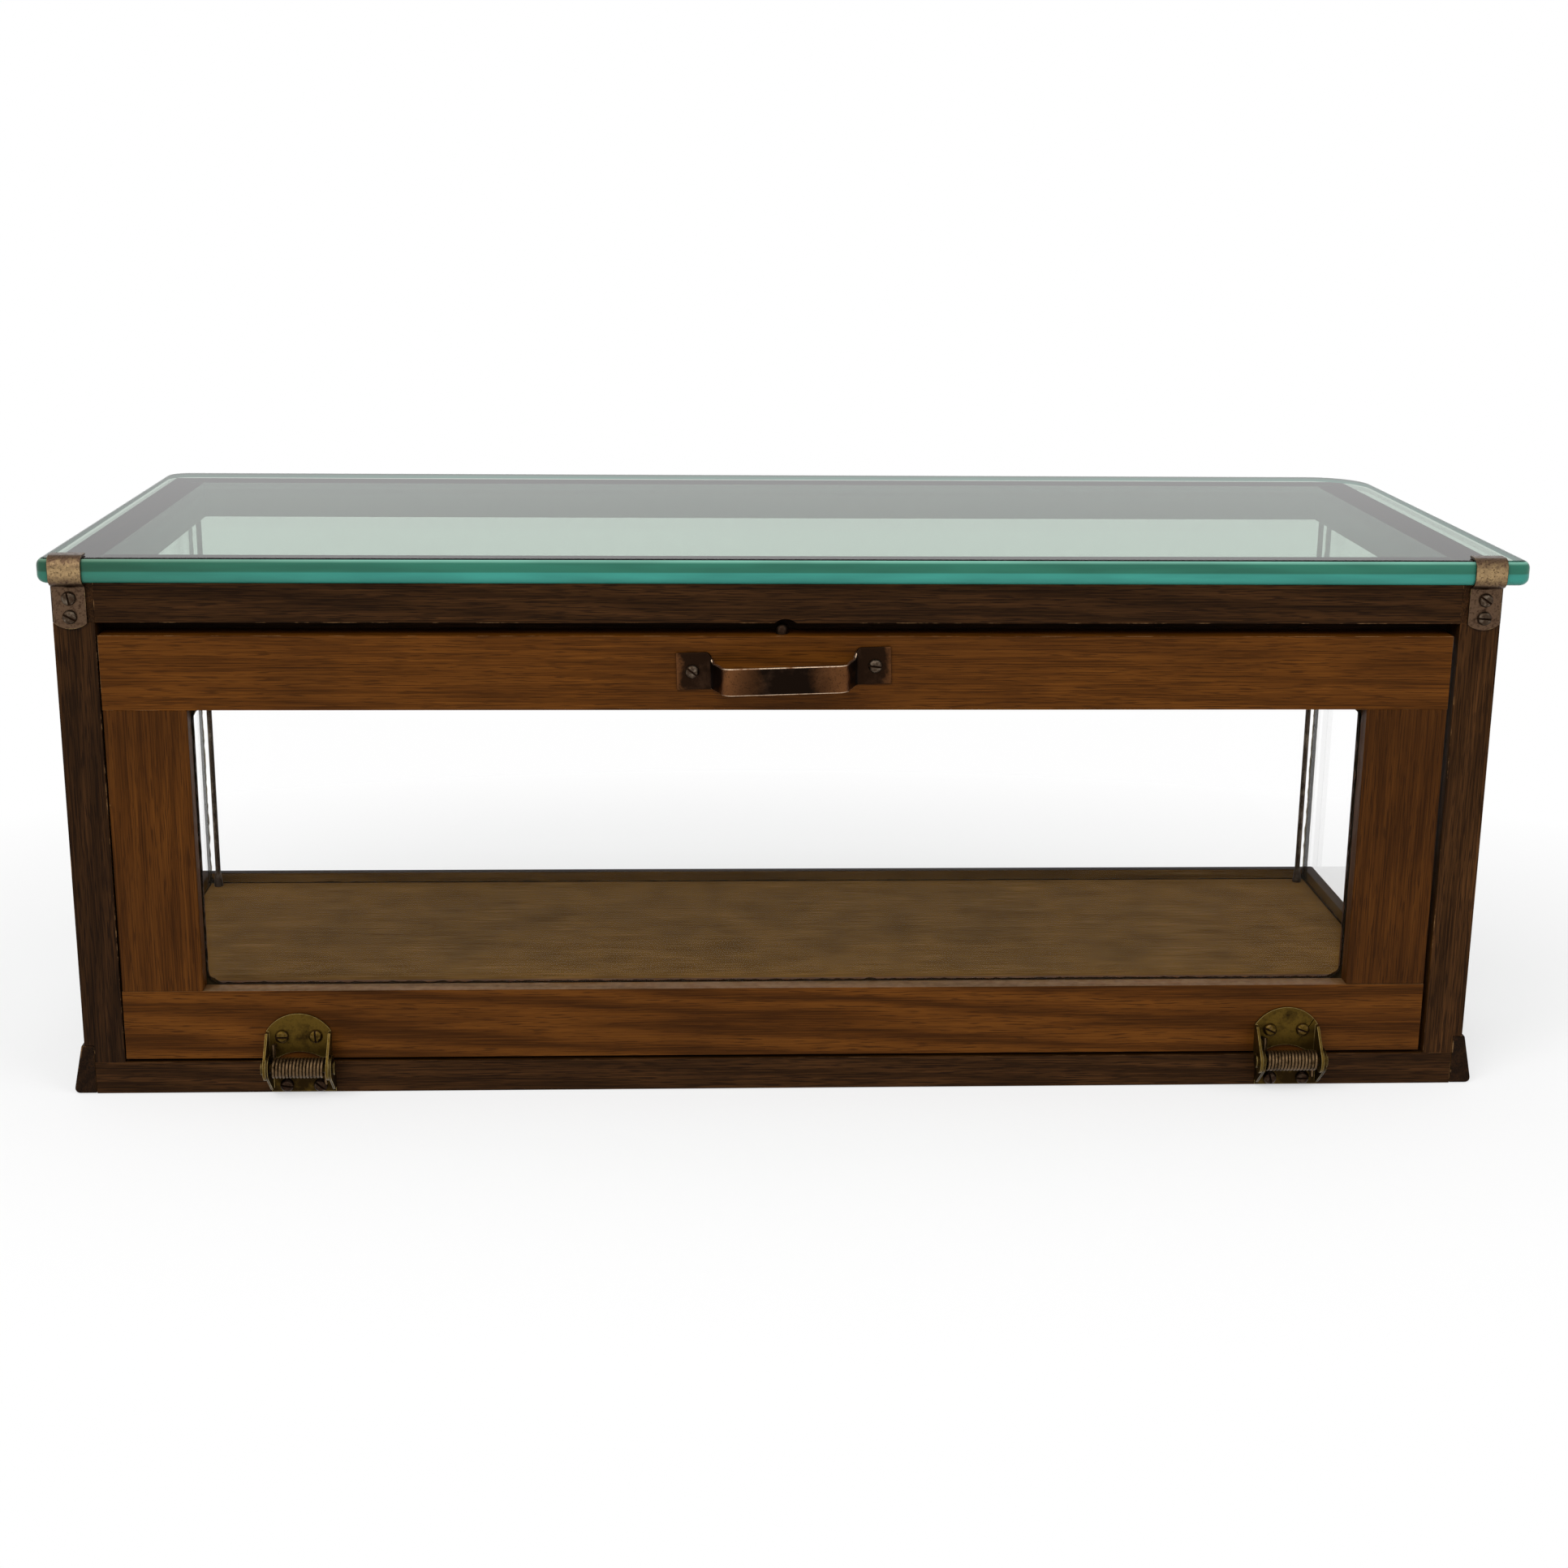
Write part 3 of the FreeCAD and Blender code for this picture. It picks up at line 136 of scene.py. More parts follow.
class CaseColours(PropertyGroup):
    """Colours of the finishes, each as a dark, a middle and a light tone where it has grain."""

    frame_dark: colour("Frame dark", "Pores and dark streaks of the stained frame", "#180a01")
    frame_mid: colour("Frame", "Stained frame timber", "#351f0a")
    frame_light: colour("Frame light", "Light streaks of the frame", "#482c13")
    frame_worn: colour("Frame worn", "Bare wood where the frame's edges are chipped", "#8a6844")
    door_dark: colour("Door dark", "Pores and dark bands of the door", "#361b02")
    door_mid: colour("Door", "Golden brown door timber", "#573009")
    door_light: colour("Door light", "Light streaks of the door", "#683c0f")
    door_worn: colour("Door worn", "Bare wood at the door's edges", "#9a7752")
    floor_dark: colour("Floor dark", "Dark streaks of the dusty floor", "#4d3515")
    floor_mid: colour("Floor", "Dusty floor board", "#664922")
    floor_light: colour("Floor light", "Light streaks of the floor", "#76572e")
    dust: colour("Dust", "Dust on ledges", "#84694a")
    plate_tint: colour("Plate tint", "Light left after a long way through the glass top", "#4fcaa6")
    plate_film: colour("Plate film", "Handled, hazy faces of the glass top", "#bbc2b9")
    # Painted light: the lower band of the plate's edge is lighter and the upper band darker.
    edge_under: colour("Edge under", "Lower band of the plate's edge", "#328174")
    edge_over: colour("Edge over", "Upper band of the plate's edge", "#25614f")
    # Painted shade: the plate's edge darkens towards its left end.
    edge_stale: colour("Edge end shade", "Darkening of the plate's edge towards its left end", "#dcc8ba")
    # Painted highlight: the pale rim along the top of the plate's edge.
    edge_brim: colour("Edge highlight", "Pale rim of the plate's edge", "#7fb8a5")
    pane_tint: colour("Pane tint", "Window glass", "#ffffff")
    grime: colour("Grime", "Dirt in the corners of the panes", "#2c2416")
    brass: colour("Brass", "Tarnished hinge brass", "#574319")
    brass_dark: colour("Brass dark", "Grime on the hinge brass", "#281c0b")
    # Rubbed edges of hinges and clips, with painted highlights on them.
    brass_bright: colour("Brass bright", "Rubbed edges of the hinge brass, with painted highlights", "#8f7b4c")
    nickel: colour("Nickel", "Aged nickel of the clips", "#5b4737")
    # Brassy wear and a painted highlight on the bulge of the clips.
    nickel_worn: colour("Nickel wear and highlight", "Brassy wear and painted highlight on the bends of the clips", "#a08661")
    nickel_dark: colour("Nickel dark", "Tarnish on the clips", "#33241a")
    # Bare copper, which is also the painted highlight on the pull's bends and ends.
    copper: colour("Copper", "Bare copper and painted highlights of the pull", "#6f4729")
    # Painted highlight along the upper edge of the pull.
    copper_bright: colour("Copper highlight", "Painted highlight on the upper edge of the pull", "#c9ae94")
    copper_dark: colour("Copper dark", "Oxidised copper of the pull", "#170f0a")
    steel: colour("Steel", "Dark steel of screws and rods", "#43372c")
    steel_bright: colour("Steel bright", "Rubbed steel", "#75685a")
    wire: colour("Wire", "Spring wire", "#67523a")
    backdrop: colour("Backdrop", "Floor and background", "#ffffff")


# Selecting and shaping

def deselect():
    bpy.ops.object.select_all(action="DESELECT")


def activate(piece):
    deselect()
    piece.select_set(True)
    bpy.context.view_layer.objects.active = piece


def mode(name):
    bpy.ops.object.mode_set(mode=name)


def select_where(piece, kind, test):
    """Select the vertices, edges or faces that pass a test, and stay in edit mode."""
    activate(piece)
    mode("EDIT")
    bpy.ops.mesh.select_mode(type=kind)
    bpy.ops.mesh.select_all(action="DESELECT")
    mode("OBJECT")
    mesh = piece.data
    for item in {"VERT": mesh.vertices, "EDGE": mesh.edges, "FACE": mesh.polygons}[kind]:
        item.select = test(item)
    mode("EDIT")


def edge_ends(piece, edge):
    return [piece.data.vertices[index].co for index in edge.vertices]


def modify(piece, kind, **settings):
    """Add a modifier and apply it at once."""
    activate(piece)
    modifier = piece.modifiers.new(kind.title(), kind)
    for name, value in settings.items():
        setattr(modifier, name, value)
    bpy.ops.object.modifier_apply(modifier=modifier.name)


def settle(piece):
    """Move an object's place into its mesh, with its doubles merged and its faces outwards."""
    activate(piece)
    bpy.ops.object.transform_apply(location=True, rotation=True, scale=True)
    mode("EDIT")
    bpy.ops.mesh.select_all(action="SELECT")
    bpy.ops.mesh.remove_doubles(threshold=SAME_POINT)
    bpy.ops.mesh.normals_make_consistent(inside=False)
    mode("OBJECT")


def block(name, low, high):
    """A block between two corners, ready to be shaped."""
    deselect()
    bpy.ops.mesh.primitive_cube_add(size=1, location=(low + high) / 2)
    piece = bpy.context.object
    piece.name = name
    piece.scale = high - low
    settle(piece)
    return piece


def round_over(piece, test, radius, segments):
    """Round the edges that pass a test."""
    select_where(piece, "EDGE", test)
    bpy.ops.mesh.bevel(offset=radius, offset_type="OFFSET", segments=segments, affect="EDGES")
    mode("OBJECT")


def nudge(piece, test, by):
    """Move the vertices that pass a test."""
    select_where(piece, "VERT", test)
    bpy.ops.transform.translate(value=by)
    mode("OBJECT")


def draw_out(by):
    """Extrude what is selected in edit mode."""
    bpy.ops.mesh.extrude_region_move(TRANSFORM_OT_translate={"value": by})


def join(pieces, name):
    """Join like pieces into the first one."""
    deselect()
    for piece in pieces:
        piece.select_set(True)
    bpy.context.view_layer.objects.active = pieces[0]
    bpy.ops.object.join()
    pieces[0].name = name
    settle(pieces[0])
    return pieces[0]


def shade(piece, degrees):
    """Smooth shading over the rounded edges, with the wide faces kept flat to the eye."""
    activate(piece)
    bpy.ops.object.shade_smooth_by_angle(angle=math.radians(degrees))
    modify(piece, "WEIGHTED_NORMAL", keep_sharp=True)


def node_copy(node, name):
    """A copy of a CAD node's mesh as one closed skin, for the edges that the solid leaves plain."""
    piece = bpy.data.objects.new(name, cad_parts[node].data.copy())
    bpy.context.scene.collection.objects.link(piece)
    piece.data.materials.clear()
    activate(piece)
    mode("EDIT")
    bpy.ops.mesh.select_all(action="SELECT")
    bpy.ops.mesh.customdata_custom_splitnormals_clear()
    bpy.ops.mesh.remove_doubles(threshold=SAME_POINT)
    bpy.ops.mesh.dissolve_limited(angle_limit=math.radians(0.5))
    mode("OBJECT")
    return piece


def soften(piece, materials, width, segments, degrees):
    """Dress a piece and round its sharp edges; the rounded strip takes the second material."""
    for material in materials:
        piece.data.materials.append(material)
    modify(
        piece, "BEVEL", width=width, segments=segments, limit_method="ANGLE",
        angle_limit=math.radians(degrees), material=1, use_clamp_overlap=True,
        miter_outer="MITER_ARC", harden_normals=False,
    )


def finish(piece, body, slot, nodes, materials=()):
    """Add a piece's finish, let the glinting lamp light it if it is metal, give it its body and hide the
    nodes that it stands for.
    """
    for material in materials:
        piece.data.materials.append(material)
    if slot in METAL_SLOTS:
        bpy.data.collections[GLINTING].objects.link(piece)
    if body:
        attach(piece, body)
    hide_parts(*nodes)


def dress(node, name, looks, edge, body, slot, segments=2, sharp=50, smooth=40):
    """Stand a copy of a CAD node in for it, with its sharp edges rounded and its finish on."""
    piece = node_copy(node, name)
    soften(piece, looks, edge, segments, sharp)
    finish(piece, body, slot, [node])
    shade(piece, smooth)
    return piece


# Finishes

def feed(tree, node, inputs):
    """Set a node's inputs to values, or link them to sockets or to what other nodes give."""
    for name, value in inputs.items():
        if isinstance(value, bpy.types.Node):
            value = next(output for output in value.outputs if output.enabled)
        if isinstance(value, bpy.types.NodeSocket):
            tree.links.new(value, node.inputs[name])
        else:
            node.inputs[name].default_value = value


def add(tree, kind, inputs=None, stops=None, **settings):
    """Add a shader node with its settings, its ramp stops and its inputs."""
    node = tree.nodes.new(f"ShaderNode{kind}")
    for name, value in settings.items():
        setattr(node, name, value)
    if stops:
        ramp = node.color_ramp.elements
        while len(ramp) < len(stops):
            ramp.new(0.5)
        for element, (position, tone) in zip(ramp, stops):
            element.position = position
            element.color = tone
    feed(tree, node, inputs or {})
    return node


def new_finish(name, **values):
    """A material with its shader's constant values set on the shader itself."""
    material = bpy.data.materials.new(name)
    material.use_nodes = True
    shader = material.node_tree.nodes["Principled BSDF"]
    for socket, value in values.items():
        shader.inputs[socket.replace("_", " ")].default_value = value
    return material, material.node_tree, shader


def grey(value):
    return (value, value, value, 1.0)


def tint_of(name):
    return tuple(getattr(bpy.context.scene.case_colours, name))


def timber_tones(kind, stain=1.0):
    """Dark, middle and light tone of a timber, made deeper or paler by its stain."""
    picked = [tint_of(f"{kind}_{depth}") for depth in ("dark", "mid", "light")]
    return [(tone[0] * stain, tone[1] * stain, tone[2] * stain, 1.0) for tone in picked]


# A wave texture's bands lie this far apart, divided by its scale.
WAVE_PERIOD = 0.314
# The bands change far more slowly along the grain than across it.
BAND_RUN = (0.06, 1, 1)
# Repeats per metre: pores 13 mm long and 0.6 mm wide, chipped spots of 13 mm, dust of 4 mm,
# ragged dirt of 6 mm, specks of 0.9 mm on metal, and waves in the plate's edge 55 mm long and 6 mm high.
PORES = (75, 1700, 1700)
CHIPS = 75.0
DUST = 260.0
DIRT = 160.0
SPECKS = 1 / (0.9 * MM)
EDGE_WAVES = (18, 18, 160)
# Turns that bring a grain along X, Y or Z on to the first texture axis.
GRAIN_TURNS = {
    "X": (0, 0, 0),
    "Y": (0, 0, -math.pi / 2),
    "Z": (0, math.pi / 2, 0),
}


def oak(
    name, along, tones, figure=0.3, band_mm=6.0, worn=None, dust=None, gloss=0.5, sheen=0.07,
    streak_mm=(62.0, 0.67), cloud_mm=70.0, open_pores=0.55,
):
    """Old open-grained oak under a thin worn varnish.

    The eye sees short dark pores along the grain, wavy growth bands and slow changes of tone.
    The pores are drawn about twice as wide as real ones so that they show at this distance.
    """
    material, tree, shader = new_finish(name, Specular_IOR_Level=sheen)
    place = add(tree, "TexCoord")
    grain = add(tree, "Mapping", {"Vector": place.outputs["Object"], "Rotation": GRAIN_TURNS[along]})
    long_way = add(tree, "Mapping", {"Vector": grain, "Scale": BAND_RUN})
    bands = add(tree, "TexWave", {
        "Vector": long_way, "Scale": WAVE_PERIOD / (band_mm * MM),
        "Distortion": 11.0, "Detail": 3.0, "Detail Scale": 0.8, "Detail Roughness": 0.6,
    }, bands_direction="DIAGONAL")
    lengthwise, crosswise = (1 / (size * MM) for size in streak_mm)
    streak_way = add(tree, "Mapping", {"Vector": grain, "Scale": (lengthwise, crosswise, crosswise)})
    streaks = add(tree, "TexNoise", {"Vector": streak_way, "Scale": 1.0, "Detail": 3.0, "Roughness": 0.6})
    pore_way = add(tree, "Mapping", {"Vector": grain, "Scale": PORES})
    pores = add(tree, "TexNoise", {"Vector": pore_way, "Scale": 1.0, "Detail": 1.5})
    pore_mask = add(tree, "MapRange", {
        "Value": pores, "From Min": open_pores, "From Max": open_pores + 0.09, "To Max": 0.8,
    })
    tone = add(tree, "Mix", {0: figure, 2: streaks, 3: bands.outputs["Fac"]})
    dark, mid, light = tones
    ramp = add(tree, "ValToRGB", {"Fac": tone}, stops=[(0.27, dark), (0.5, mid), (0.71, light)])
    cloud = add(tree, "TexNoise", {"Vector": grain, "Scale": 1 / (cloud_mm * MM), "Detail": 3.0})
    cloud_tone = add(tree, "ValToRGB", {"Fac": cloud}, stops=[(0.3, grey(0.6)), (0.7, grey(1.0))])
    shaded = add(tree, "Mix", {0: 0.8, 6: ramp, 7: cloud_tone}, data_type="RGBA", blend_type="MULTIPLY")
    base = add(tree, "Mix", {0: pore_mask, 6: shaded, 7: dark}, data_type="RGBA")
    if worn:
        bare, least = worn
        patch = add(tree, "TexNoise", {"Vector": grain, "Scale": CHIPS, "Detail": 6.0, "Roughness": 0.7})
        patch_mask = add(tree, "MapRange", {
            "Value": patch, "From Min": least, "From Max": least + 0.12, "To Max": 0.85,
        })
        base = add(tree, "Mix", {0: patch_mask, 6: base, 7: bare}, data_type="RGBA")
    if dust:
        upward = add(tree, "SeparateXYZ", {"Vector": place.outputs["Normal"]})
        flat = add(tree, "MapRange", {
            "Value": upward.outputs["Z"], "From Min": 0.8, "From Max": 0.98, "To Max": 0.75,
        })
        speckle = add(tree, "TexNoise", {"Vector": grain, "Scale": DUST, "Detail": 4.0})
        thin = add(tree, "Math", {0: flat, 1: speckle}, operation="MULTIPLY")
        base = add(tree, "Mix", {0: thin, 6: base, 7: dust}, data_type="RGBA")
    varnish = add(tree, "MapRange", {
        "Value": tone, "From Min": 0.3, "From Max": 0.7, "To Min": gloss + 0.14, "To Max": gloss,
    })
    bump = add(tree, "Bump", {"Height": pore_mask, "Strength": 0.25, "Distance": 0.15 * MM}, invert=True)
    feed(tree, shader, {"Base Color": base, "Roughness": varnish, "Normal": bump})
    return material


def patina(name, tints, patch_mm, rough, speck=0.5, rub_and_highlight=None):
    """Old metal with tarnish in clouds and stained specks about a millimetre wide.

    Its tints run from tarnish to bright metal. A rub lays bare metal and a painted highlight along an
    axis, by shares of a reach from a middle.
    """
    material, tree, shader = new_finish(name, Metallic=1.0)
    place = add(tree, "TexCoord")
    cloud = add(tree, "TexNoise", {
        "Vector": place.outputs["Object"], "Scale": 1 / (patch_mm * MM), "Detail": 5.0, "Roughness": 0.62,
    })
    dark, mid, bright = [tint_of(tint) for tint in tints]
    toned = add(tree, "ValToRGB", {"Fac": cloud}, stops=[(0.3, dark), (0.5, mid), (0.72, bright)])
    if rub_and_highlight:
        axis, middle, reach, uneven, bare_and_highlight_tint, shares = rub_and_highlight
        across = add(tree, "SeparateXYZ", {"Vector": place.outputs["Object"]})
        beside = add(tree, "Math", {0: across.outputs[axis], 1: middle}, operation="SUBTRACT")
        apart = add(tree, "Math", {0: beside}, operation="ABSOLUTE")
        share = add(tree, "Math", {0: apart, 1: reach}, operation="DIVIDE")
        ragged = add(tree, "Math", {0: cloud, 1: uneven, 2: share}, operation="MULTIPLY_ADD")
        centred = add(tree, "Math", {0: ragged, 1: uneven / 2}, operation="SUBTRACT")
        # Painted highlight as well as bare metal: the rub brightens the bulge of the clips and the bends
        # and ends of the pull.
        bare = add(tree, "ValToRGB", {"Fac": centred}, stops=[(spot, grey(much)) for spot, much in shares])
        toned = add(tree, "Mix", {0: bare, 6: toned, 7: tint_of(bare_and_highlight_tint)}, data_type="RGBA")
    specks = add(tree, "TexNoise", {"Vector": place.outputs["Object"], "Scale": SPECKS, "Detail": 2.0})
    speck_mask = add(tree, "MapRange", {
        "Value": specks, "From Min": 0.55, "From Max": 0.7, "To Max": speck,
    })
    stained = add(tree, "Mix", {0: speck_mask, 6: toned, 7: dark}, data_type="RGBA")
    worn = add(tree, "MapRange", {
        "Value": cloud, "From Min": 0.3, "From Max": 0.7, "To Min": rough + 0.12, "To Max": rough - 0.08,
    })
    bump = add(tree, "Bump", {"Height": specks, "Strength": 0.2, "Distance": 0.06 * MM})
    feed(tree, shader, {"Base Color": stained, "Roughness": worn, "Normal": bump})
    return material


def window_glass(name, centre, half, depth_mm):
    """Old drawn window glass: clear, with dirt that rounds off the corners of its opening.

    It bends light less than real glass so that the white room doesn't veil the dark wood behind it.
    """
    material, tree, shader = new_finish(name, IOR=1.12, Roughness=0.0)
    place = add(tree, "TexCoord")
    depth = depth_mm * MM
    # The clear part's corners are round: 2.2 times as far as the dirt is deep.
    radius = 2.2 * depth
    inner = [max(size - radius, 0) for size in half]
    offset = add(tree, "VectorMath", {0: place.outputs["Object"], 1: tuple(centre)}, operation="SUBTRACT")
    mirrored = add(tree, "VectorMath", {0: offset}, operation="ABSOLUTE")
    past = add(tree, "VectorMath", {0: mirrored, 1: tuple(inner)}, operation="SUBTRACT")
    outside = add(tree, "VectorMath", {0: past, 1: (0, 0, 0)}, operation="MAXIMUM")
    reach = add(tree, "VectorMath", {0: outside}, operation="LENGTH")
    ragged = add(tree, "TexNoise", {"Vector": place.outputs["Object"], "Scale": DIRT, "Detail": 5.0})
    uneven = add(tree, "Math", {0: ragged, 1: 0.6 * depth, 2: reach}, operation="MULTIPLY_ADD")
    dirt = add(tree, "MapRange", {
        "Value": uneven, "From Min": radius - 0.25 * depth, "From Max": radius + 0.3 * depth,
    })
    clear = add(tree, "Math", {0: 1.0, 1: dirt}, operation="SUBTRACT")
    dark = add(tree, "MapRange", {"Value": dirt, "From Max": 0.1})
    stained = add(tree, "Mix", {
        0: dark, 6: tint_of("pane_tint"), 7: tint_of("grime"),
    }, data_type="RGBA")
    feed(tree, shader, {"Base Color": stained, "Transmission Weight": clear})
    return material


def plate_glass(name):
    """Old half-inch plate: nearly clear through its thickness, sea green along its length."""
    material, tree, _ = new_finish(
        name, IOR=1.14, Transmission_Weight=1.0, Roughness=0.0, Base_Color=tint_of("plate_film"),
    )
    depth = add(tree, "VolumeAbsorption", {"Color": tint_of("plate_tint"), "Density": 11.0})
    feed(tree, tree.nodes["Material Output"], {"Volume": depth})
    return material


def plate_edge(name, low, high):
    """Ground edge of the plate: two bands of sea green, the upper darker than the lower as painted light,
    under a pale rim that is a painted highlight, with painted shade towards the left end.
    """
    material, tree, shader = new_finish(name, Roughness=0.12, Specular_IOR_Level=0.2)
    place = add(tree, "TexCoord")
    height = add(tree, "SeparateXYZ", {"Vector": place.outputs["Object"]})
    share = add(tree, "MapRange", {"Value": height.outputs["Z"], "From Min": low.z, "From Max": high.z})
    # Painted light: a lighter lower band and a darker upper band, under a painted highlight along the rim.
    under, over = tint_of("edge_under"), tint_of("edge_over")
    bands = add(tree, "ValToRGB", {"Fac": share}, stops=[
        (0.05, under), (0.46, under), (0.52, over), (0.84, over), (0.97, tint_of("edge_brim")),
    ])
    stretch = add(tree, "Mapping", {"Vector": place.outputs["Object"], "Scale": EDGE_WAVES})
    waves = add(tree, "TexNoise", {"Vector": stretch, "Scale": 1.0, "Detail": 2.0})
    depth = add(tree, "ValToRGB", {"Fac": waves}, stops=[(0.35, grey(0.7)), (0.65, grey(1.0))])
    shaded = add(tree, "Mix", {0: 0.7, 6: bands, 7: depth}, data_type="RGBA", blend_type="MULTIPLY")
    # Painted shade: the edge is darkened towards its left end.
    end = add(tree, "MapRange", {
        "Value": height.outputs["X"], "From Min": low.x, "From Max": 0.55 * low.x,
        "To Min": 1.0, "To Max": 0.0,
    })
    end_shaded = add(tree, "Mix", {
        0: end, 6: shaded, 7: tint_of("edge_stale"),
    }, data_type="RGBA", blend_type="MULTIPLY")
    feed(tree, shader, {"Base Color": end_shaded})
    return material


# Pieces

class CASE_OT_frame_timber(Operator):
    """Posts, top frame and sill of dark stained oak"""

    bl_idname = "display_case.frame_timber"
    bl_label = "Frame timber"

    # Way of the grain and depth of the stain.
    GRAIN = {
        "sill_rail": ("X", 0.95),
        "header_rail": ("X", 0.78),
        "top_rail_far": ("X", 0.8),
        "top_rail_left": ("Y", 0.75),
        "top_rail_right": ("Y", 0.9),
        "post_left": ("Z", 0.66),
        "post_right": ("Z", 1.1),
    }

    def execute(self, context):
        sizes = context.scene.case_sizes
        worn = tint_of("frame_worn")
        for node, (along, stain) in self.GRAIN.items():
            label = node.replace("_", " ")
            timber = timber_tones("frame", stain)
            face = oak(f"dark stained oak {label}", along, timber, figure=0.15, open_pores=0.52)
            edge = oak(f"worn stained oak {label}", along, timber, worn=(worn, 0.53))
            dress(node, f"{node}_timber", [face, edge], sizes.timber_edge, "case", "dark_oak")
        return {"FINISHED"}


class CASE_OT_base_mouldings(Operator):
    """Sloped base mouldings, mitred at the far corners"""

    bl_idname = "display_case.base_mouldings"
    bl_label = "Base mouldings"

    def moulding(self, context, node, outward, along):
        """A length of moulding from a block: mitred ends, slope drawn in and toe rounded."""
        sizes = context.scene.case_sizes
        low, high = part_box(node)
        piece = block(f"{node}_timber", low, high)
        reach = abs((high - low).dot(outward))
        middle = (low + high) / 2
        mitred = [1, -1] if node == "base_moulding_far" else [1]
        for end in mitred:
            def inner_end(vertex):
                place = vertex.co - middle
                return place.dot(outward) < 0 and place.dot(along) * end > 0
            nudge(piece, inner_end, -end * reach * along)
        drawn = reach - sizes.moulding_top
        for end in (1, -1):
            def shoulder(vertex):
                place = vertex.co - middle
                return place.dot(outward) > 0 and place.z > 0 and place.dot(along) * end > 0
            back = end * along if end in mitred else Vector()
            nudge(piece, shoulder, -drawn * (outward + back))

        def toe(edge):
            start, stop = edge_ends(piece, edge)
            run = abs((start - stop).dot(along))
            low_edge = start.z < middle.z and stop.z < middle.z
            return run > reach * 2 and low_edge and (start - middle).dot(outward) > 0

        round_over(piece, toe, sizes.moulding_toe, 5)
        return piece

    def execute(self, context):
        worn = tint_of("frame_worn")
        lengths = {
            "base_moulding_left": (Vector((-1, 0, 0)), Vector((0, 1, 0)), "Y"),
            "base_moulding_right": (Vector((1, 0, 0)), Vector((0, 1, 0)), "Y"),
            "base_moulding_far": (Vector((0, 1, 0)), Vector((1, 0, 0)), "X"),
        }
        for node, (outward, along, grain) in lengths.items():
            label = node.replace("_", " ")
            timber, dusty = timber_tones("frame", 0.38), timber_tones("floor", 0.7)
            inside = oak(f"dusty oak {label}", grain, dusty, figure=0.1, gloss=0.7, sheen=0.03)
            face = oak(f"dark stained oak {label}", grain, timber, figure=0.15)
            edge = oak(f"worn stained oak {label}", grain, timber, worn=(worn, 0.62))
            piece = self.moulding(context, node, outward, along)
            soften(piece, [face, edge], context.scene.case_sizes.moulding_edge, 2, 40)
            settle(piece)
            piece.data.materials.append(inside)
            for side in piece.data.polygons:
                if side.normal.dot(outward) < -FACING:
                    side.material_index = 2
            finish(piece, "case", "dark_oak", [node])
            shade(piece, 40)
        return {"FINISHED"}


class CASE_OT_floor_board(Operator):
    """Dusty floor board of the case"""

    bl_idname = "display_case.floor_board"
    bl_label = "Floor board"

    def execute(self, context):
        timber = timber_tones("floor")
        board = oak(
            "dusty oak board", "X", timber, figure=0.04, band_mm=14, gloss=0.7, sheen=0.03,
            streak_mm=(36.0, 1.3), cloud_mm=28.0,
        )
        edge = oak("dusty oak board edge", "X", timber, worn=(tint_of("dust"), 0.5), gloss=0.7)
        sizes = context.scene.case_sizes
        dress("floor_panel", "floor_board", [board, edge], sizes.timber_edge, "case", "floor_board")
        return {"FINISHED"}


class CASE_OT_door_timber(Operator):
    """Rails, stiles and glazing beads of the door in golden brown oak"""

    bl_idname = "display_case.door_timber"
    bl_label = "Door timber"

    # Way of the grain, share and width in mm of its bands, stain, where chips start, and dust.
    LOOKS = {
        "door_top_rail": ("X", 0.12, 5.0, 0.86, 0.48, False),
        "door_bottom_rail": ("X", 0.3, 8.0, 0.86, 0.52, True),
        "door_stile_left": ("Z", 0.15, 6.0, 0.7, 0.64, False),
        "door_stile_right": ("Z", 0.12, 5.0, 0.54, 0.64, False),
        "door_bead_top": ("X", 0.1, 4.0, 0.4, None, False),
        "door_bead_bottom": ("X", 0.1, 4.0, 0.7, None, False),
        "door_bead_left": ("Z", 0.1, 4.0, 0.4, None, False),
        "door_bead_right": ("Z", 0.1, 4.0, 0.4, None, False),
    }

    def execute(self, context):
        sizes = context.scene.case_sizes
        for node, (along, figure, band, stain, chipped, dusty) in self.LOOKS.items():
            label = node.replace("_", " ")
            timber = timber_tones("door", stain)
            dust = tint_of("dust") if dusty else None
            worn = (tint_of("door_worn"), chipped) if chipped else None
            face = oak(f"golden oak {label}", along, timber, figure, band, dust=dust, gloss=0.46)
            edge = oak(f"worn golden oak {label}", along, timber, figure, band, worn=worn, dust=dust)
            dress(node, f"{node}_timber", [face, edge], sizes.door_edge, "door", "door_oak", segments=3)
        return {"FINISHED"}


class CASE_OT_panes(Operator):
    """Window glass of the sides, the far side and the door"""

    bl_idname = "display_case.panes"
    bl_label = "Panes"

    # Body, directions of the face, how far the opening lies in from the pane's edge, and the dirt, in mm.
    OPENINGS = {
        "pane_far": ("case", "XZ", 2.0, 3.0),
        "pane_left": ("case", "YZ", 2.0, 3.0),
        "pane_right": ("case", "YZ", 2.0, 3.0),
        "door_pane": ("door", "XZ", 3.5, 5.0),
    }

    def execute(self, context):
        edge = context.scene.case_sizes.glass_edge
        for node, (body, face, cover, dirt) in self.OPENINGS.items():
            low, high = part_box(node)
            # Through its thickness a pane has no rim, so its half size there is far too large to matter.
            rim = Vector([cover * MM if axis in face else -1 for axis in "XYZ"])
            label = node.replace("_", " ")
            glass = window_glass(f"window glass {label}", (low + high) / 2, (high - low) / 2 - rim, dirt)
            piece = dress(node, f"{node}_glass", [glass, glass], edge, body, "window_glass", smooth=30)
            piece.visible_shadow = False
        return {"FINISHED"}


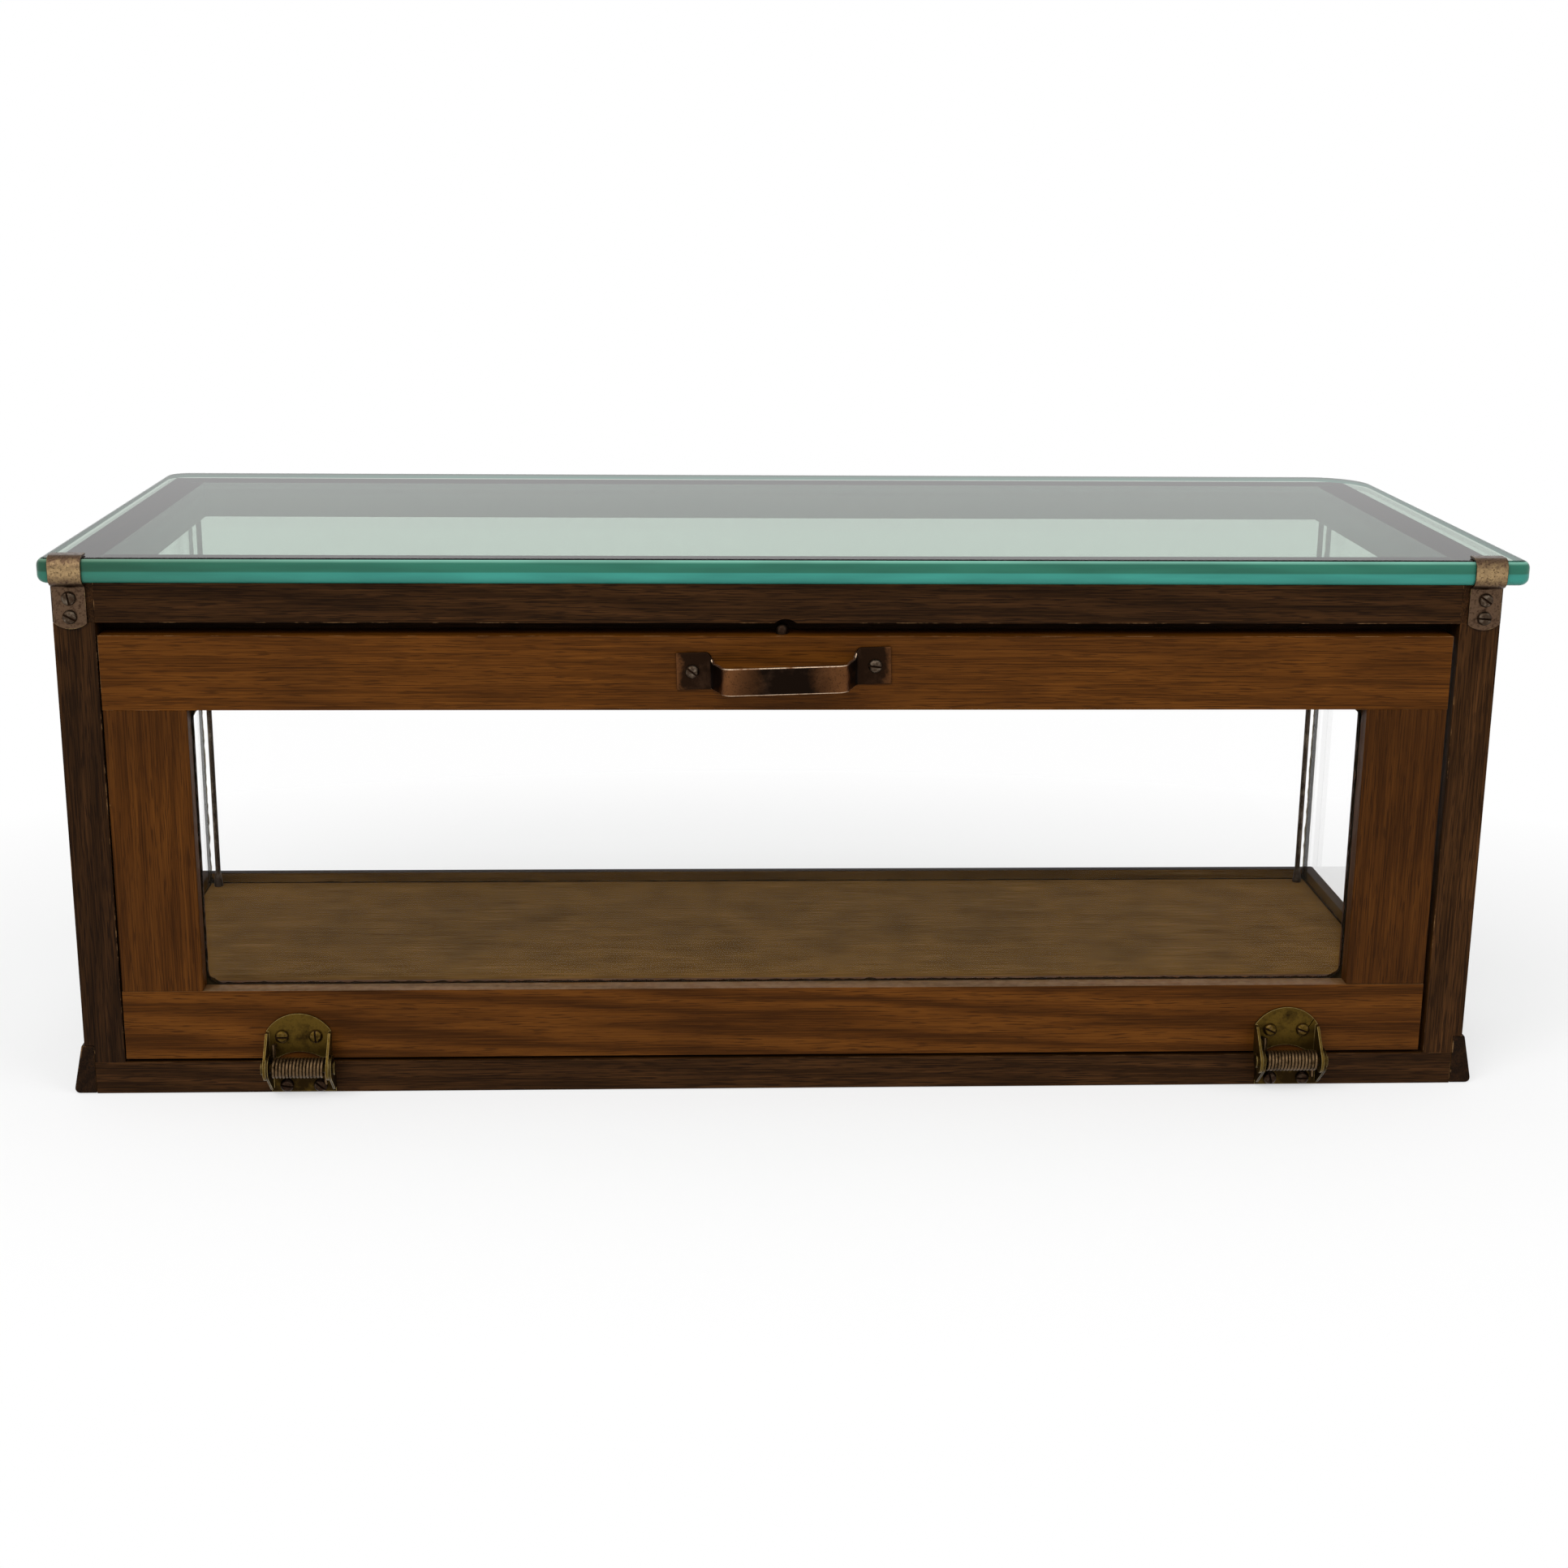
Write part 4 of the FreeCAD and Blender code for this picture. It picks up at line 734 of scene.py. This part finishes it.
class CASE_OT_plate_top(Operator):
    """Half-inch plate glass top with rounded corners and edges"""

    bl_idname = "display_case.plate_top"
    bl_label = "Plate glass top"

    def execute(self, context):
        sizes = context.scene.case_sizes
        low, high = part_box("glass_top")
        low.x -= sizes.plate_reach
        high.x += sizes.plate_reach
        piece = block("plate_glass_top", low, high)
        middle = (low + high) / 2
        corners = {
            (-1, -1): sizes.plate_corner, (1, -1): sizes.plate_corner,
            (-1, 1): sizes.plate_far_left, (1, 1): sizes.plate_far_right,
        }
        for (side, way), radius in corners.items():
            spot = Vector((low.x if side < 0 else high.x, low.y if way < 0 else high.y, 0))

            def upright(edge):
                return all((point - spot).to_2d().length < NEAR for point in edge_ends(piece, edge))

            round_over(piece, upright, radius, 12)

        def rim(edge):
            start, end = edge_ends(piece, edge)
            return abs(start.z - end.z) < NEAR and abs(start.z - middle.z) > sizes.plate_arris

        round_over(piece, rim, sizes.plate_arris, 6)
        settle(piece)
        looks = [plate_glass("old plate glass"), plate_edge("sea green plate edge", low, high)]
        finish(piece, "case", "plate_glass", ["glass_top"], looks)
        for face in piece.data.polygons:
            face.material_index = int(abs(face.normal.z) < FACING)
        piece.visible_shadow = False
        shade(piece, 35)
        return {"FINISHED"}


class CASE_OT_glass_clips(Operator):
    """Bent strap clips that hold the glass top"""

    bl_idname = "display_case.glass_clips"
    bl_label = "Glass clips"

    # How bare the metal is, and how strong the painted highlight on the bulge, from the height of the
    # plate's middle (0) to its faces (1).
    RUBBED_AND_HIGHLIT = ((0.05, 1.0), (0.45, 0.6), (1.0, 0.0))

    def execute(self, context):
        low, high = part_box("glass_top")
        strap = patina(
            "aged nickel strap", ("nickel_dark", "nickel", "nickel"), 2.2, 0.36, speck=0.8,
            rub_and_highlight=("Z", (low.z + high.z) / 2, (high.z - low.z) / 2, 2.0, "nickel_worn", self.RUBBED_AND_HIGHLIT),
        )
        # The clips' rounded edges take rubbed metal and a painted highlight.
        edge_wear_and_highlight = patina("rubbed nickel edge", ("nickel_dark", "nickel", "brass_bright"), 4.0, 0.35)
        edge = context.scene.case_sizes.metal_edge
        for node in ("glass_clip_left", "glass_clip_right"):
            dress(node, f"{node}_strap", [strap, edge_wear_and_highlight], edge, "case", "clip_metal", smooth=35)
        return {"FINISHED"}


class CASE_OT_pull(Operator):
    """Bent strap pull of oxidised copper"""

    bl_idname = "display_case.pull"
    bl_label = "Pull"

    # How bare the copper is, and how strong the painted highlight on its bends and tabs, from the pull's
    # middle (0) to its ends (1).
    RUBBED_AND_HIGHLIT = ((0.2, 0.0), (0.56, 0.85), (0.62, 0.03), (0.92, 0.05), (0.99, 0.7))
    BEND_STEPS = 8

    def course(self, sizes, tab, bar):
        """Points along half the strap, from its middle out, each with the rise from bar to tab height."""
        half = sizes.pull_length / 2
        near = sizes.pull_leg / 2 - sizes.pull_splay
        far = sizes.pull_leg / 2 + sizes.pull_splay
        bend, foot = sizes.pull_bend, sizes.pull_foot
        shares = [step / self.BEND_STEPS for step in range(self.BEND_STEPS + 1)]
        points = [(0, bar, 0), (near - bend, bar, 0)]
        for share in shares[1:]:
            turn = share * math.pi / 2
            points.append((near - bend + bend * math.sin(turn), bar + bend * (1 - math.cos(turn)), 0))
        for share in shares:
            turn = share * math.pi / 2
            rise = 0.5 - 0.5 * math.cos(share * math.pi)
            points.append((far + foot * (1 - math.cos(turn)), tab - foot + foot * math.sin(turn), rise))
        return points + [(half, tab, 1)]

    def strap(self, context):
        sizes = context.scene.case_sizes
        low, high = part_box("pull_handle")
        tab = high.y - sizes.pull_strap / 2
        bar = low.y + sizes.pull_strap / 2
        half_course = self.course(sizes, tab, bar)
        course = [(-x, y, rise) for x, y, rise in reversed(half_course)] + half_course[1:]
        start = course[0]
        bottom = -sizes.pull_tab / 2
        deselect()
        bpy.ops.mesh.primitive_plane_add(size=sizes.pull_tab, rotation=(math.pi / 2, 0, 0))
        piece = context.object
        piece.name = "pull_strap"
        settle(piece)
        select_where(piece, "VERT", lambda vertex: vertex.co.x > 0)
        bpy.ops.mesh.delete(type="VERT")
        bpy.ops.mesh.select_all(action="SELECT")
        bpy.ops.transform.translate(value=(start[0] + sizes.pull_tab / 2, start[1], 0))
        height = sizes.pull_tab
        for before, after in zip(course, course[1:]):
            move = (after[0] - before[0], after[1] - before[1], 0)
            draw_out(move)
            wanted = sizes.pull_bar + (sizes.pull_tab - sizes.pull_bar) * after[2]
            if abs(wanted - height) > SAME_POINT / 2:
                bpy.ops.transform.resize(
                    value=(1, 1, wanted / height), center_override=(after[0], after[1], bottom),
                )
            height = wanted
        mode("OBJECT")
        modify(piece, "SOLIDIFY", thickness=sizes.pull_strap, offset=0, use_even_offset=True)
        piece.location = ((low.x + high.x) / 2, 0, (low.z + high.z) / 2)
        piece.rotation_euler = (0, -sizes.pull_tilt, 0)
        settle(piece)
        return piece

    def execute(self, context):
        sizes = context.scene.case_sizes
        low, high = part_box("pull_handle")
        middle = (low.x + high.x) / 2
        face = patina(
            "oxidised copper strap", ("copper_dark", "copper_dark", "nickel_dark"), 14.0, 0.36,
            rub_and_highlight=("X", middle, (high.x - low.x) / 2, 0.3, "copper", self.RUBBED_AND_HIGHLIT),
        )
        edge_wear_and_highlight = patina("rubbed copper edge", ("copper", "copper_bright", "copper_bright"), 8.0, 0.3)
        piece = self.strap(context)
        soften(piece, [face, edge_wear_and_highlight], sizes.pull_edge, 3, 50)
        # The tabs take no painted highlight; faces looking up on the bar and legs take it.
        for side in piece.data.polygons:
            if abs(side.center.x - middle) > sizes.pull_leg / 2 + 2 * sizes.pull_strap:
                side.material_index = 0
            elif side.normal.z > 0.8:
                side.material_index = 1
        finish(piece, "door", "pull_metal", ["pull_handle"])
        shade(piece, 35)
        return {"FINISHED"}


class CASE_OT_hinges(Operator):
    """Stamped leaves and pins of the spring hinges, and the stud on the door"""

    bl_idname = "display_case.hinges"
    bl_label = "Hinges"

    def execute(self, context):
        sizes = context.scene.case_sizes
        sheet = patina("tarnished stamped brass", ("brass_dark", "brass", "brass"), 9.0, 0.45, speck=0.35)
        # The leaves' rounded edges take rubbed brass and a painted highlight.
        edge_wear_and_highlight = patina("rubbed brass edge", ("brass", "brass_bright", "brass_bright"), 5.0, 0.35)
        # The base leaves and pins take darker brass as painted shade.
        shaded_brass = patina("dark oiled brass", ("brass_dark", "brass_dark", "brass"), 9.0, 0.5)
        bronze = patina("dark bronze stud", ("copper_dark", "nickel_dark", "steel"), 3.0, 0.45)
        leaves = {
            "hinge_door_leaf": ("door", sheet),
            "hinge_base_leaf": ("case", shaded_brass),
            "hinge_pin": ("case", shaded_brass),
        }
        for kind, (body, face) in leaves.items():
            for side in ("left", "right"):
                node = f"{kind}_{side}"
                dress(
                    node, f"{node}_brass", [face, edge_wear_and_highlight], sizes.metal_edge, body, "hinge_metal",
                    sharp=40, smooth=35,
                )
        low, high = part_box("door_stud")
        deselect()
        head = sizes.stud_head
        bpy.ops.mesh.primitive_cylinder_add(
            vertices=32, radius=(high.x - low.x) / 2, depth=head,
            location=((low.x + high.x) / 2, (low.y + high.y) / 2, high.z - head / 2),
        )
        stud = context.object
        stud.name = "door_stud_head"
        settle(stud)

        def crown(edge):
            return all(point.z > high.z - NEAR for point in edge_ends(stud, edge))

        round_over(stud, crown, sizes.stud_dome, 6)
        settle(stud)
        finish(stud, "door", "hinge_metal", ["door_stud"], [bronze])
        shade(stud, 50)
        return {"FINISHED"}


class CASE_OT_springs(Operator):
    """Torsion springs round the hinge pins, twisted by the door"""

    bl_idname = "display_case.springs"
    bl_label = "Hinge springs"

    # Points round the wire, and steps in one of its turns.
    ROUND = 14
    STEPS = 24

    def leg(self, spring, ring, way, plate):
        """Draw out one end of the wire: straight, a quarter bend, then square on to the leaf."""
        sizes = bpy.context.scene.case_sizes
        select_where(spring, "VERT", lambda vertex: (vertex.co - ring).length < sizes.spring_wire)
        straight = sizes.spring_leg - sizes.spring_bend
        draw_out((0, 0, way * straight))
        turn = ring + Vector((0, sizes.spring_bend, way * straight))
        bpy.ops.mesh.spin(steps=6, angle=-way * math.pi / 2, center=turn, axis=(1, 0, 0))
        tip = ring.y + sizes.spring_bend
        draw_out((0, plate - tip, 0))
        bpy.ops.mesh.edge_face_add()
        mode("OBJECT")

    def execute(self, context):
        sizes = context.scene.case_sizes
        wire = patina("brassed spring wire", ("brass_dark", "wire", "wire"), 3.0, 0.42)
        plate = FRONT - sizes.spring_seat
        for side in ("left", "right"):
            low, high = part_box(f"hinge_pin_{side}")
            axis = (low + high) / 2
            first = axis - Vector((sizes.spring_span / 2, 0, 0))
            deselect()
            bpy.ops.mesh.primitive_circle_add(
                vertices=self.ROUND, radius=sizes.spring_wire / 2, location=first,
            )
            spring = context.object
            spring.name = f"hinge_spring_{side}_wire"
            out = Vector((0, sizes.spring_radius, 0))
            nudge(spring, lambda vertex: True, out)
            modify(
                spring, "SCREW", axis="X", angle=-2 * math.pi, iterations=sizes.spring_turns,
                screw_offset=sizes.spring_span / sizes.spring_turns,
                steps=self.STEPS, render_steps=self.STEPS,
            )
            settle(spring)
            self.leg(spring, first + out, 1, plate)
            self.leg(spring, first + out + Vector((sizes.spring_span, 0, 0)), -1, plate)
            settle(spring)
            finish(spring, None, "spring_wire", ["hinge_springs"], [wire])
            shade(spring, 50)
            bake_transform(spring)
        return {"FINISHED"}


class CASE_OT_screws(Operator):
    """Slotted round-head screws of clips, pull and hinges"""

    bl_idname = "display_case.screws"
    bl_label = "Screws"

    # Heads are this much wider than the solids', and this share of their height is domed.
    SPREAD = 1.08
    DOME = 0.8
    # Height of a head, and radius and length of its stub of shank.
    HEAD = 2.2 * MM
    SHANK = 1.5 * MM
    STUB = 8 * MM
    # Each group's slots stand at the angles in degrees that the old screws were left at.
    GROUPS = {
        "clip_screws": ("case", "steel", (80, 28, 35, 5)),
        "pull_screws": ("door", "steel", (38, 8)),
        "hinge_door_screws": ("door", "brass", (0, 86, 25, 20)),
        # The base leaves' screws are darker as painted shade.
        "hinge_base_screws": ("case", "bronze", (10, 40, 75, 0)),
    }

    def spots(self, node):
        """Middle, seat and radius of each head in a CAD group, from left to right and top down."""
        node_copy(node, "screw_places")
        mode("EDIT")
        bpy.ops.mesh.separate(type="LOOSE")
        mode("OBJECT")
        found = []
        for single in list(bpy.context.selected_objects):
            points = [vertex.co for vertex in single.data.vertices]
            low = Vector(min(point[axis] for point in points) for axis in range(3))
            high = Vector(max(point[axis] for point in points) for axis in range(3))
            found.append(((low + high) / 2, low.y + self.HEAD, (high.x - low.x) / 2))
            bpy.data.objects.remove(single)
        return sorted(found, key=lambda spot: (round(spot[0].x, 3), -spot[0].z))

    def head(self, context, centre, seat, crown, radius, turn, metal, grime):
        """One screw: domed head, sawn slot and a stub of shank."""
        sizes = context.scene.case_sizes
        deselect()
        bpy.ops.mesh.primitive_cylinder_add(
            vertices=32, radius=radius, depth=seat - crown, rotation=(math.pi / 2, 0, 0),
            location=(centre.x, (seat + crown) / 2, centre.z),
        )
        screw = context.object
        settle(screw)

        def brow(edge):
            return all(point.y < crown + NEAR for point in edge_ends(screw, edge))

        round_over(screw, brow, self.DOME * (seat - crown), 6)
        select_where(screw, "FACE", lambda face: face.normal.y > FACING)
        bpy.ops.mesh.inset(thickness=radius - self.SHANK)
        draw_out((0, self.STUB, 0))
        mode("OBJECT")
        deselect()
        bpy.ops.mesh.primitive_cube_add(
            size=1, location=(centre.x, crown, centre.z), rotation=(0, math.radians(turn), 0),
        )
        saw = context.object
        saw.scale = (3 * radius, 2 * sizes.slot_depth, sizes.slot_width)
        saw.data.materials.append(grime)
        screw.data.materials.append(metal)
        context.view_layer.update()
        modify(
            screw, "BOOLEAN", object=saw, operation="DIFFERENCE", solver="EXACT", material_mode="TRANSFER",
        )
        bpy.data.objects.remove(saw)
        return screw

    def execute(self, context):
        metals = {
            "steel": patina("dark screw steel", ("nickel_dark", "steel", "steel_bright"), 2.5, 0.36),
            "brass": patina("tarnished screw brass", ("brass_dark", "brass", "wire"), 2.5, 0.36),
            # The darkest screw metal is painted shade on the base leaves' screws.
            "bronze": patina("dark screw bronze", ("copper_dark", "nickel_dark", "steel"), 2.5, 0.4),
        }
        grime, _, _ = new_finish(
            "grime in the slots", Base_Color=tint_of("frame_dark"), Roughness=0.8, Specular_IOR_Level=0.1,
        )
        for node, (body, metal, turns) in self.GROUPS.items():
            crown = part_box(node)[0].y
            heads = [
                self.head(context, spot, seat, crown, self.SPREAD * radius, turn, metals[metal], grime)
                for (spot, seat, radius), turn in zip(self.spots(node), turns)
            ]
            piece = join(heads, f"{node}_slotted")
            finish(piece, body, "screw_steel", [node])
            shade(piece, 40)
        return {"FINISHED"}


class CASE_OT_tie_rods(Operator):
    """Tie rods, their feet and their nuts in the far corners"""

    bl_idname = "display_case.tie_rods"
    bl_label = "Tie rods"

    def execute(self, context):
        steel = patina("dull rod steel", ("steel", "steel", "steel_bright"), 8.0, 0.5)
        sizes = context.scene.case_sizes
        for node in ("tie_rod_left", "tie_rod_right", "tie_rod_nuts"):
            dress(node, f"{node}_steel", [steel, steel], sizes.metal_edge, "case", "rod_steel")
        low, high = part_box("tie_rod_feet")
        reach = (high.y - low.y) / 2
        feet = []
        for x in (low.x + reach, high.x - reach):
            deselect()
            bpy.ops.mesh.primitive_cone_add(
                vertices=32, radius1=reach, radius2=sizes.foot_top, depth=high.z - low.z,
                location=(x, (low.y + high.y) / 2, (low.z + high.z) / 2),
            )
            modify(context.object, "BEVEL", width=sizes.foot_edge, segments=3, limit_method="ANGLE")
            feet.append(context.object)
        piece = join(feet, "tie_rod_ferrules")
        finish(piece, "case", "rod_steel", ["tie_rod_feet"], [steel])
        shade(piece, 40)
        return {"FINISHED"}


class CASE_OT_stage(Operator):
    """Pale floor, soft light, white surroundings and the camera"""

    bl_idname = "display_case.stage"
    bl_label = "Stage"

    FLOOR_GREY = 0.86
    FLOOR_WIDTH = 30
    # Near the case this share of the floor is plain white, so that the shadow stays soft. In an oval
    # round the case, from one reach to the other in metres, the rest turns white as well.
    WHITE_NEAR = 0.55
    OVAL = (1.15, 1.9, 1)
    NEAR_REACH = 0.45
    FAR_REACH = 0.95
    SOFT_LIGHT = 0.5
    # Place, aim, width in metres and watts of each lamp, whose height is this share of its width.
    LAMP_SHAPE = 0.6
    LAMPS = {
        "key": ((-0.9, -1.7, 1.7), (0, 0, 0.1), 1.8, 42),
        "fill": ((1.4, -1.2, 1.2), (0, 0, 0.12), 1.4, 14),
    }
    CAMERA_PLACE = (-0.0529, -1.2912, 0.4785)
    # Yaw, pitch and roll in radians.
    CAMERA_TURNS = (0.046, 0.267, 0.010)
    FOCAL_MM = 53.35
    SENSOR_MM = 36

    def seen(self, tree):
        """One for what the camera sees, also in gloss and through glass, and nought for light."""
        path = add(tree, "LightPath")
        direct = add(tree, "Math", {
            0: path.outputs["Is Camera Ray"], 1: path.outputs["Is Glossy Ray"],
        }, operation="MAXIMUM")
        return add(tree, "Math", {0: direct, 1: path.outputs["Is Transmission Ray"]}, operation="MAXIMUM")

    def floor(self, context):
        """Pale grey floor that keeps the shadow near the case and turns to white away from it."""
        deselect()
        bpy.ops.mesh.primitive_plane_add(size=self.FLOOR_WIDTH, location=(0, 0, -0.3 * MM))
        ground = context.object
        ground.name = "studio_floor"
        material, tree, shader = new_finish(
            "pale studio floor", Base_Color=grey(self.FLOOR_GREY), Roughness=0.9, Specular_IOR_Level=0.0,
        )
        place = add(tree, "TexCoord")
        near = add(tree, "Mapping", {"Vector": place.outputs["Object"], "Scale": self.OVAL})
        reach = add(tree, "VectorMath", {0: near}, operation="LENGTH")
        away = add(tree, "MapRange", {
            "Value": reach, "From Min": self.NEAR_REACH, "From Max": self.FAR_REACH,
            "To Min": self.WHITE_NEAR,
        })
        share = add(tree, "Math", {0: self.seen(tree), 1: away}, operation="MULTIPLY")
        glow = add(tree, "Emission", {"Color": tint_of("backdrop"), "Strength": 1.0})
        mix = add(tree, "MixShader", {0: share, 1: shader, 2: glow})
        feed(tree, tree.nodes["Material Output"], {"Surface": mix})
        ground.data.materials.append(material)

    def surroundings(self, context):
        """White to the eye, with half as much light on the case."""
        world = bpy.data.worlds.new("white studio")
        context.scene.world = world
        world.use_nodes = True
        tree = world.node_tree
        soft = tree.nodes["Background"]
        feed(tree, soft, {"Color": grey(1.0), "Strength": self.SOFT_LIGHT})
        bright = add(tree, "Background", {"Color": tint_of("backdrop"), "Strength": 1.0})
        mix = add(tree, "MixShader", {0: self.seen(tree), 1: soft, 2: bright})
        feed(tree, tree.nodes["World Output"], {"Surface": mix})

    def lamp(self, context, name, spot, aim, width, watts, receivers=None):
        """A soft lamp; one with receivers lights only those, and shows in their gloss."""
        light = bpy.data.lights.new(name, "AREA")
        light.shape = "RECTANGLE"
        light.size = width
        light.size_y = width * self.LAMP_SHAPE
        light.energy = watts
        holder = bpy.data.objects.new(name, light)
        context.scene.collection.objects.link(holder)
        holder.location = spot
        holder.rotation_euler = (Vector(aim) - Vector(spot)).to_track_quat("-Z", "Y").to_euler()
        holder.visible_camera = False
        holder.visible_glossy = receivers is not None
        holder.light_linking.receiver_collection = receivers
        holder.visible_transmission = False

    def camera(self, context):
        """A pinhole view a little left of the middle and above the case, as in the photograph."""
        yaw, pitch, roll = self.CAMERA_TURNS
        level_ahead = Vector((math.sin(yaw), math.cos(yaw), 0))
        ahead = math.cos(pitch) * level_ahead - Vector((0, 0, math.sin(pitch)))
        level = Vector((math.cos(yaw), -math.sin(yaw), 0))
        above = level.cross(ahead)
        right = math.cos(roll) * level + math.sin(roll) * above
        up = math.cos(roll) * above - math.sin(roll) * level
        lens = bpy.data.cameras.new("photo camera")
        lens.sensor_width = self.SENSOR_MM
        lens.lens = self.FOCAL_MM
        lens.clip_start = 0.01
        holder = bpy.data.objects.new("photo_camera", lens)
        context.scene.collection.objects.link(holder)
        turn = Matrix((right, up, -ahead)).transposed().to_4x4()
        holder.matrix_world = Matrix.Translation(self.CAMERA_PLACE) @ turn
        context.scene.camera = holder

    def execute(self, context):
        self.floor(context)
        self.surroundings(context)
        for name, settings in self.LAMPS.items():
            self.lamp(context, name, *settings)
        glinting = bpy.data.collections.new(GLINTING)
        self.lamp(context, "glint", *self.LAMPS["key"], glinting)
        self.camera(context)
        context.scene.view_settings.view_transform = "Standard"
        return {"FINISHED"}


class CASE_PT_pieces(Panel):
    """Lists the pieces of the case and the sizes and colours behind them"""

    bl_idname = "CASE_PT_pieces"
    bl_label = "Display case"
    bl_space_type = "VIEW_3D"
    bl_region_type = "UI"
    bl_category = "Case"

    def draw(self, context):
        for maker in MAKERS:
            self.layout.operator(maker.bl_idname)
        for group in (context.scene.case_sizes, context.scene.case_colours):
            column = self.layout.column()
            for name in group.__annotations__:
                column.prop(group, name)


MAKERS = (
    CASE_OT_stage,
    CASE_OT_frame_timber,
    CASE_OT_base_mouldings,
    CASE_OT_floor_board,
    CASE_OT_door_timber,
    CASE_OT_panes,
    CASE_OT_plate_top,
    CASE_OT_glass_clips,
    CASE_OT_pull,
    CASE_OT_hinges,
    CASE_OT_springs,
    CASE_OT_screws,
    CASE_OT_tie_rods,
)
CLASSES = (CaseSizes, CaseColours, *MAKERS, CASE_PT_pieces)


def register():
    for kind in CLASSES:
        bpy.utils.register_class(kind)
    bpy.types.Scene.case_sizes = PointerProperty(type=CaseSizes)
    bpy.types.Scene.case_colours = PointerProperty(type=CaseColours)


def unregister():
    del bpy.types.Scene.case_colours
    del bpy.types.Scene.case_sizes
    for kind in reversed(CLASSES):
        bpy.utils.unregister_class(kind)


def main():
    register()
    for maker in MAKERS:
        group, name = maker.bl_idname.split(".")
        getattr(getattr(bpy.ops, group), name)()


if __name__ == "__main__":
    main()
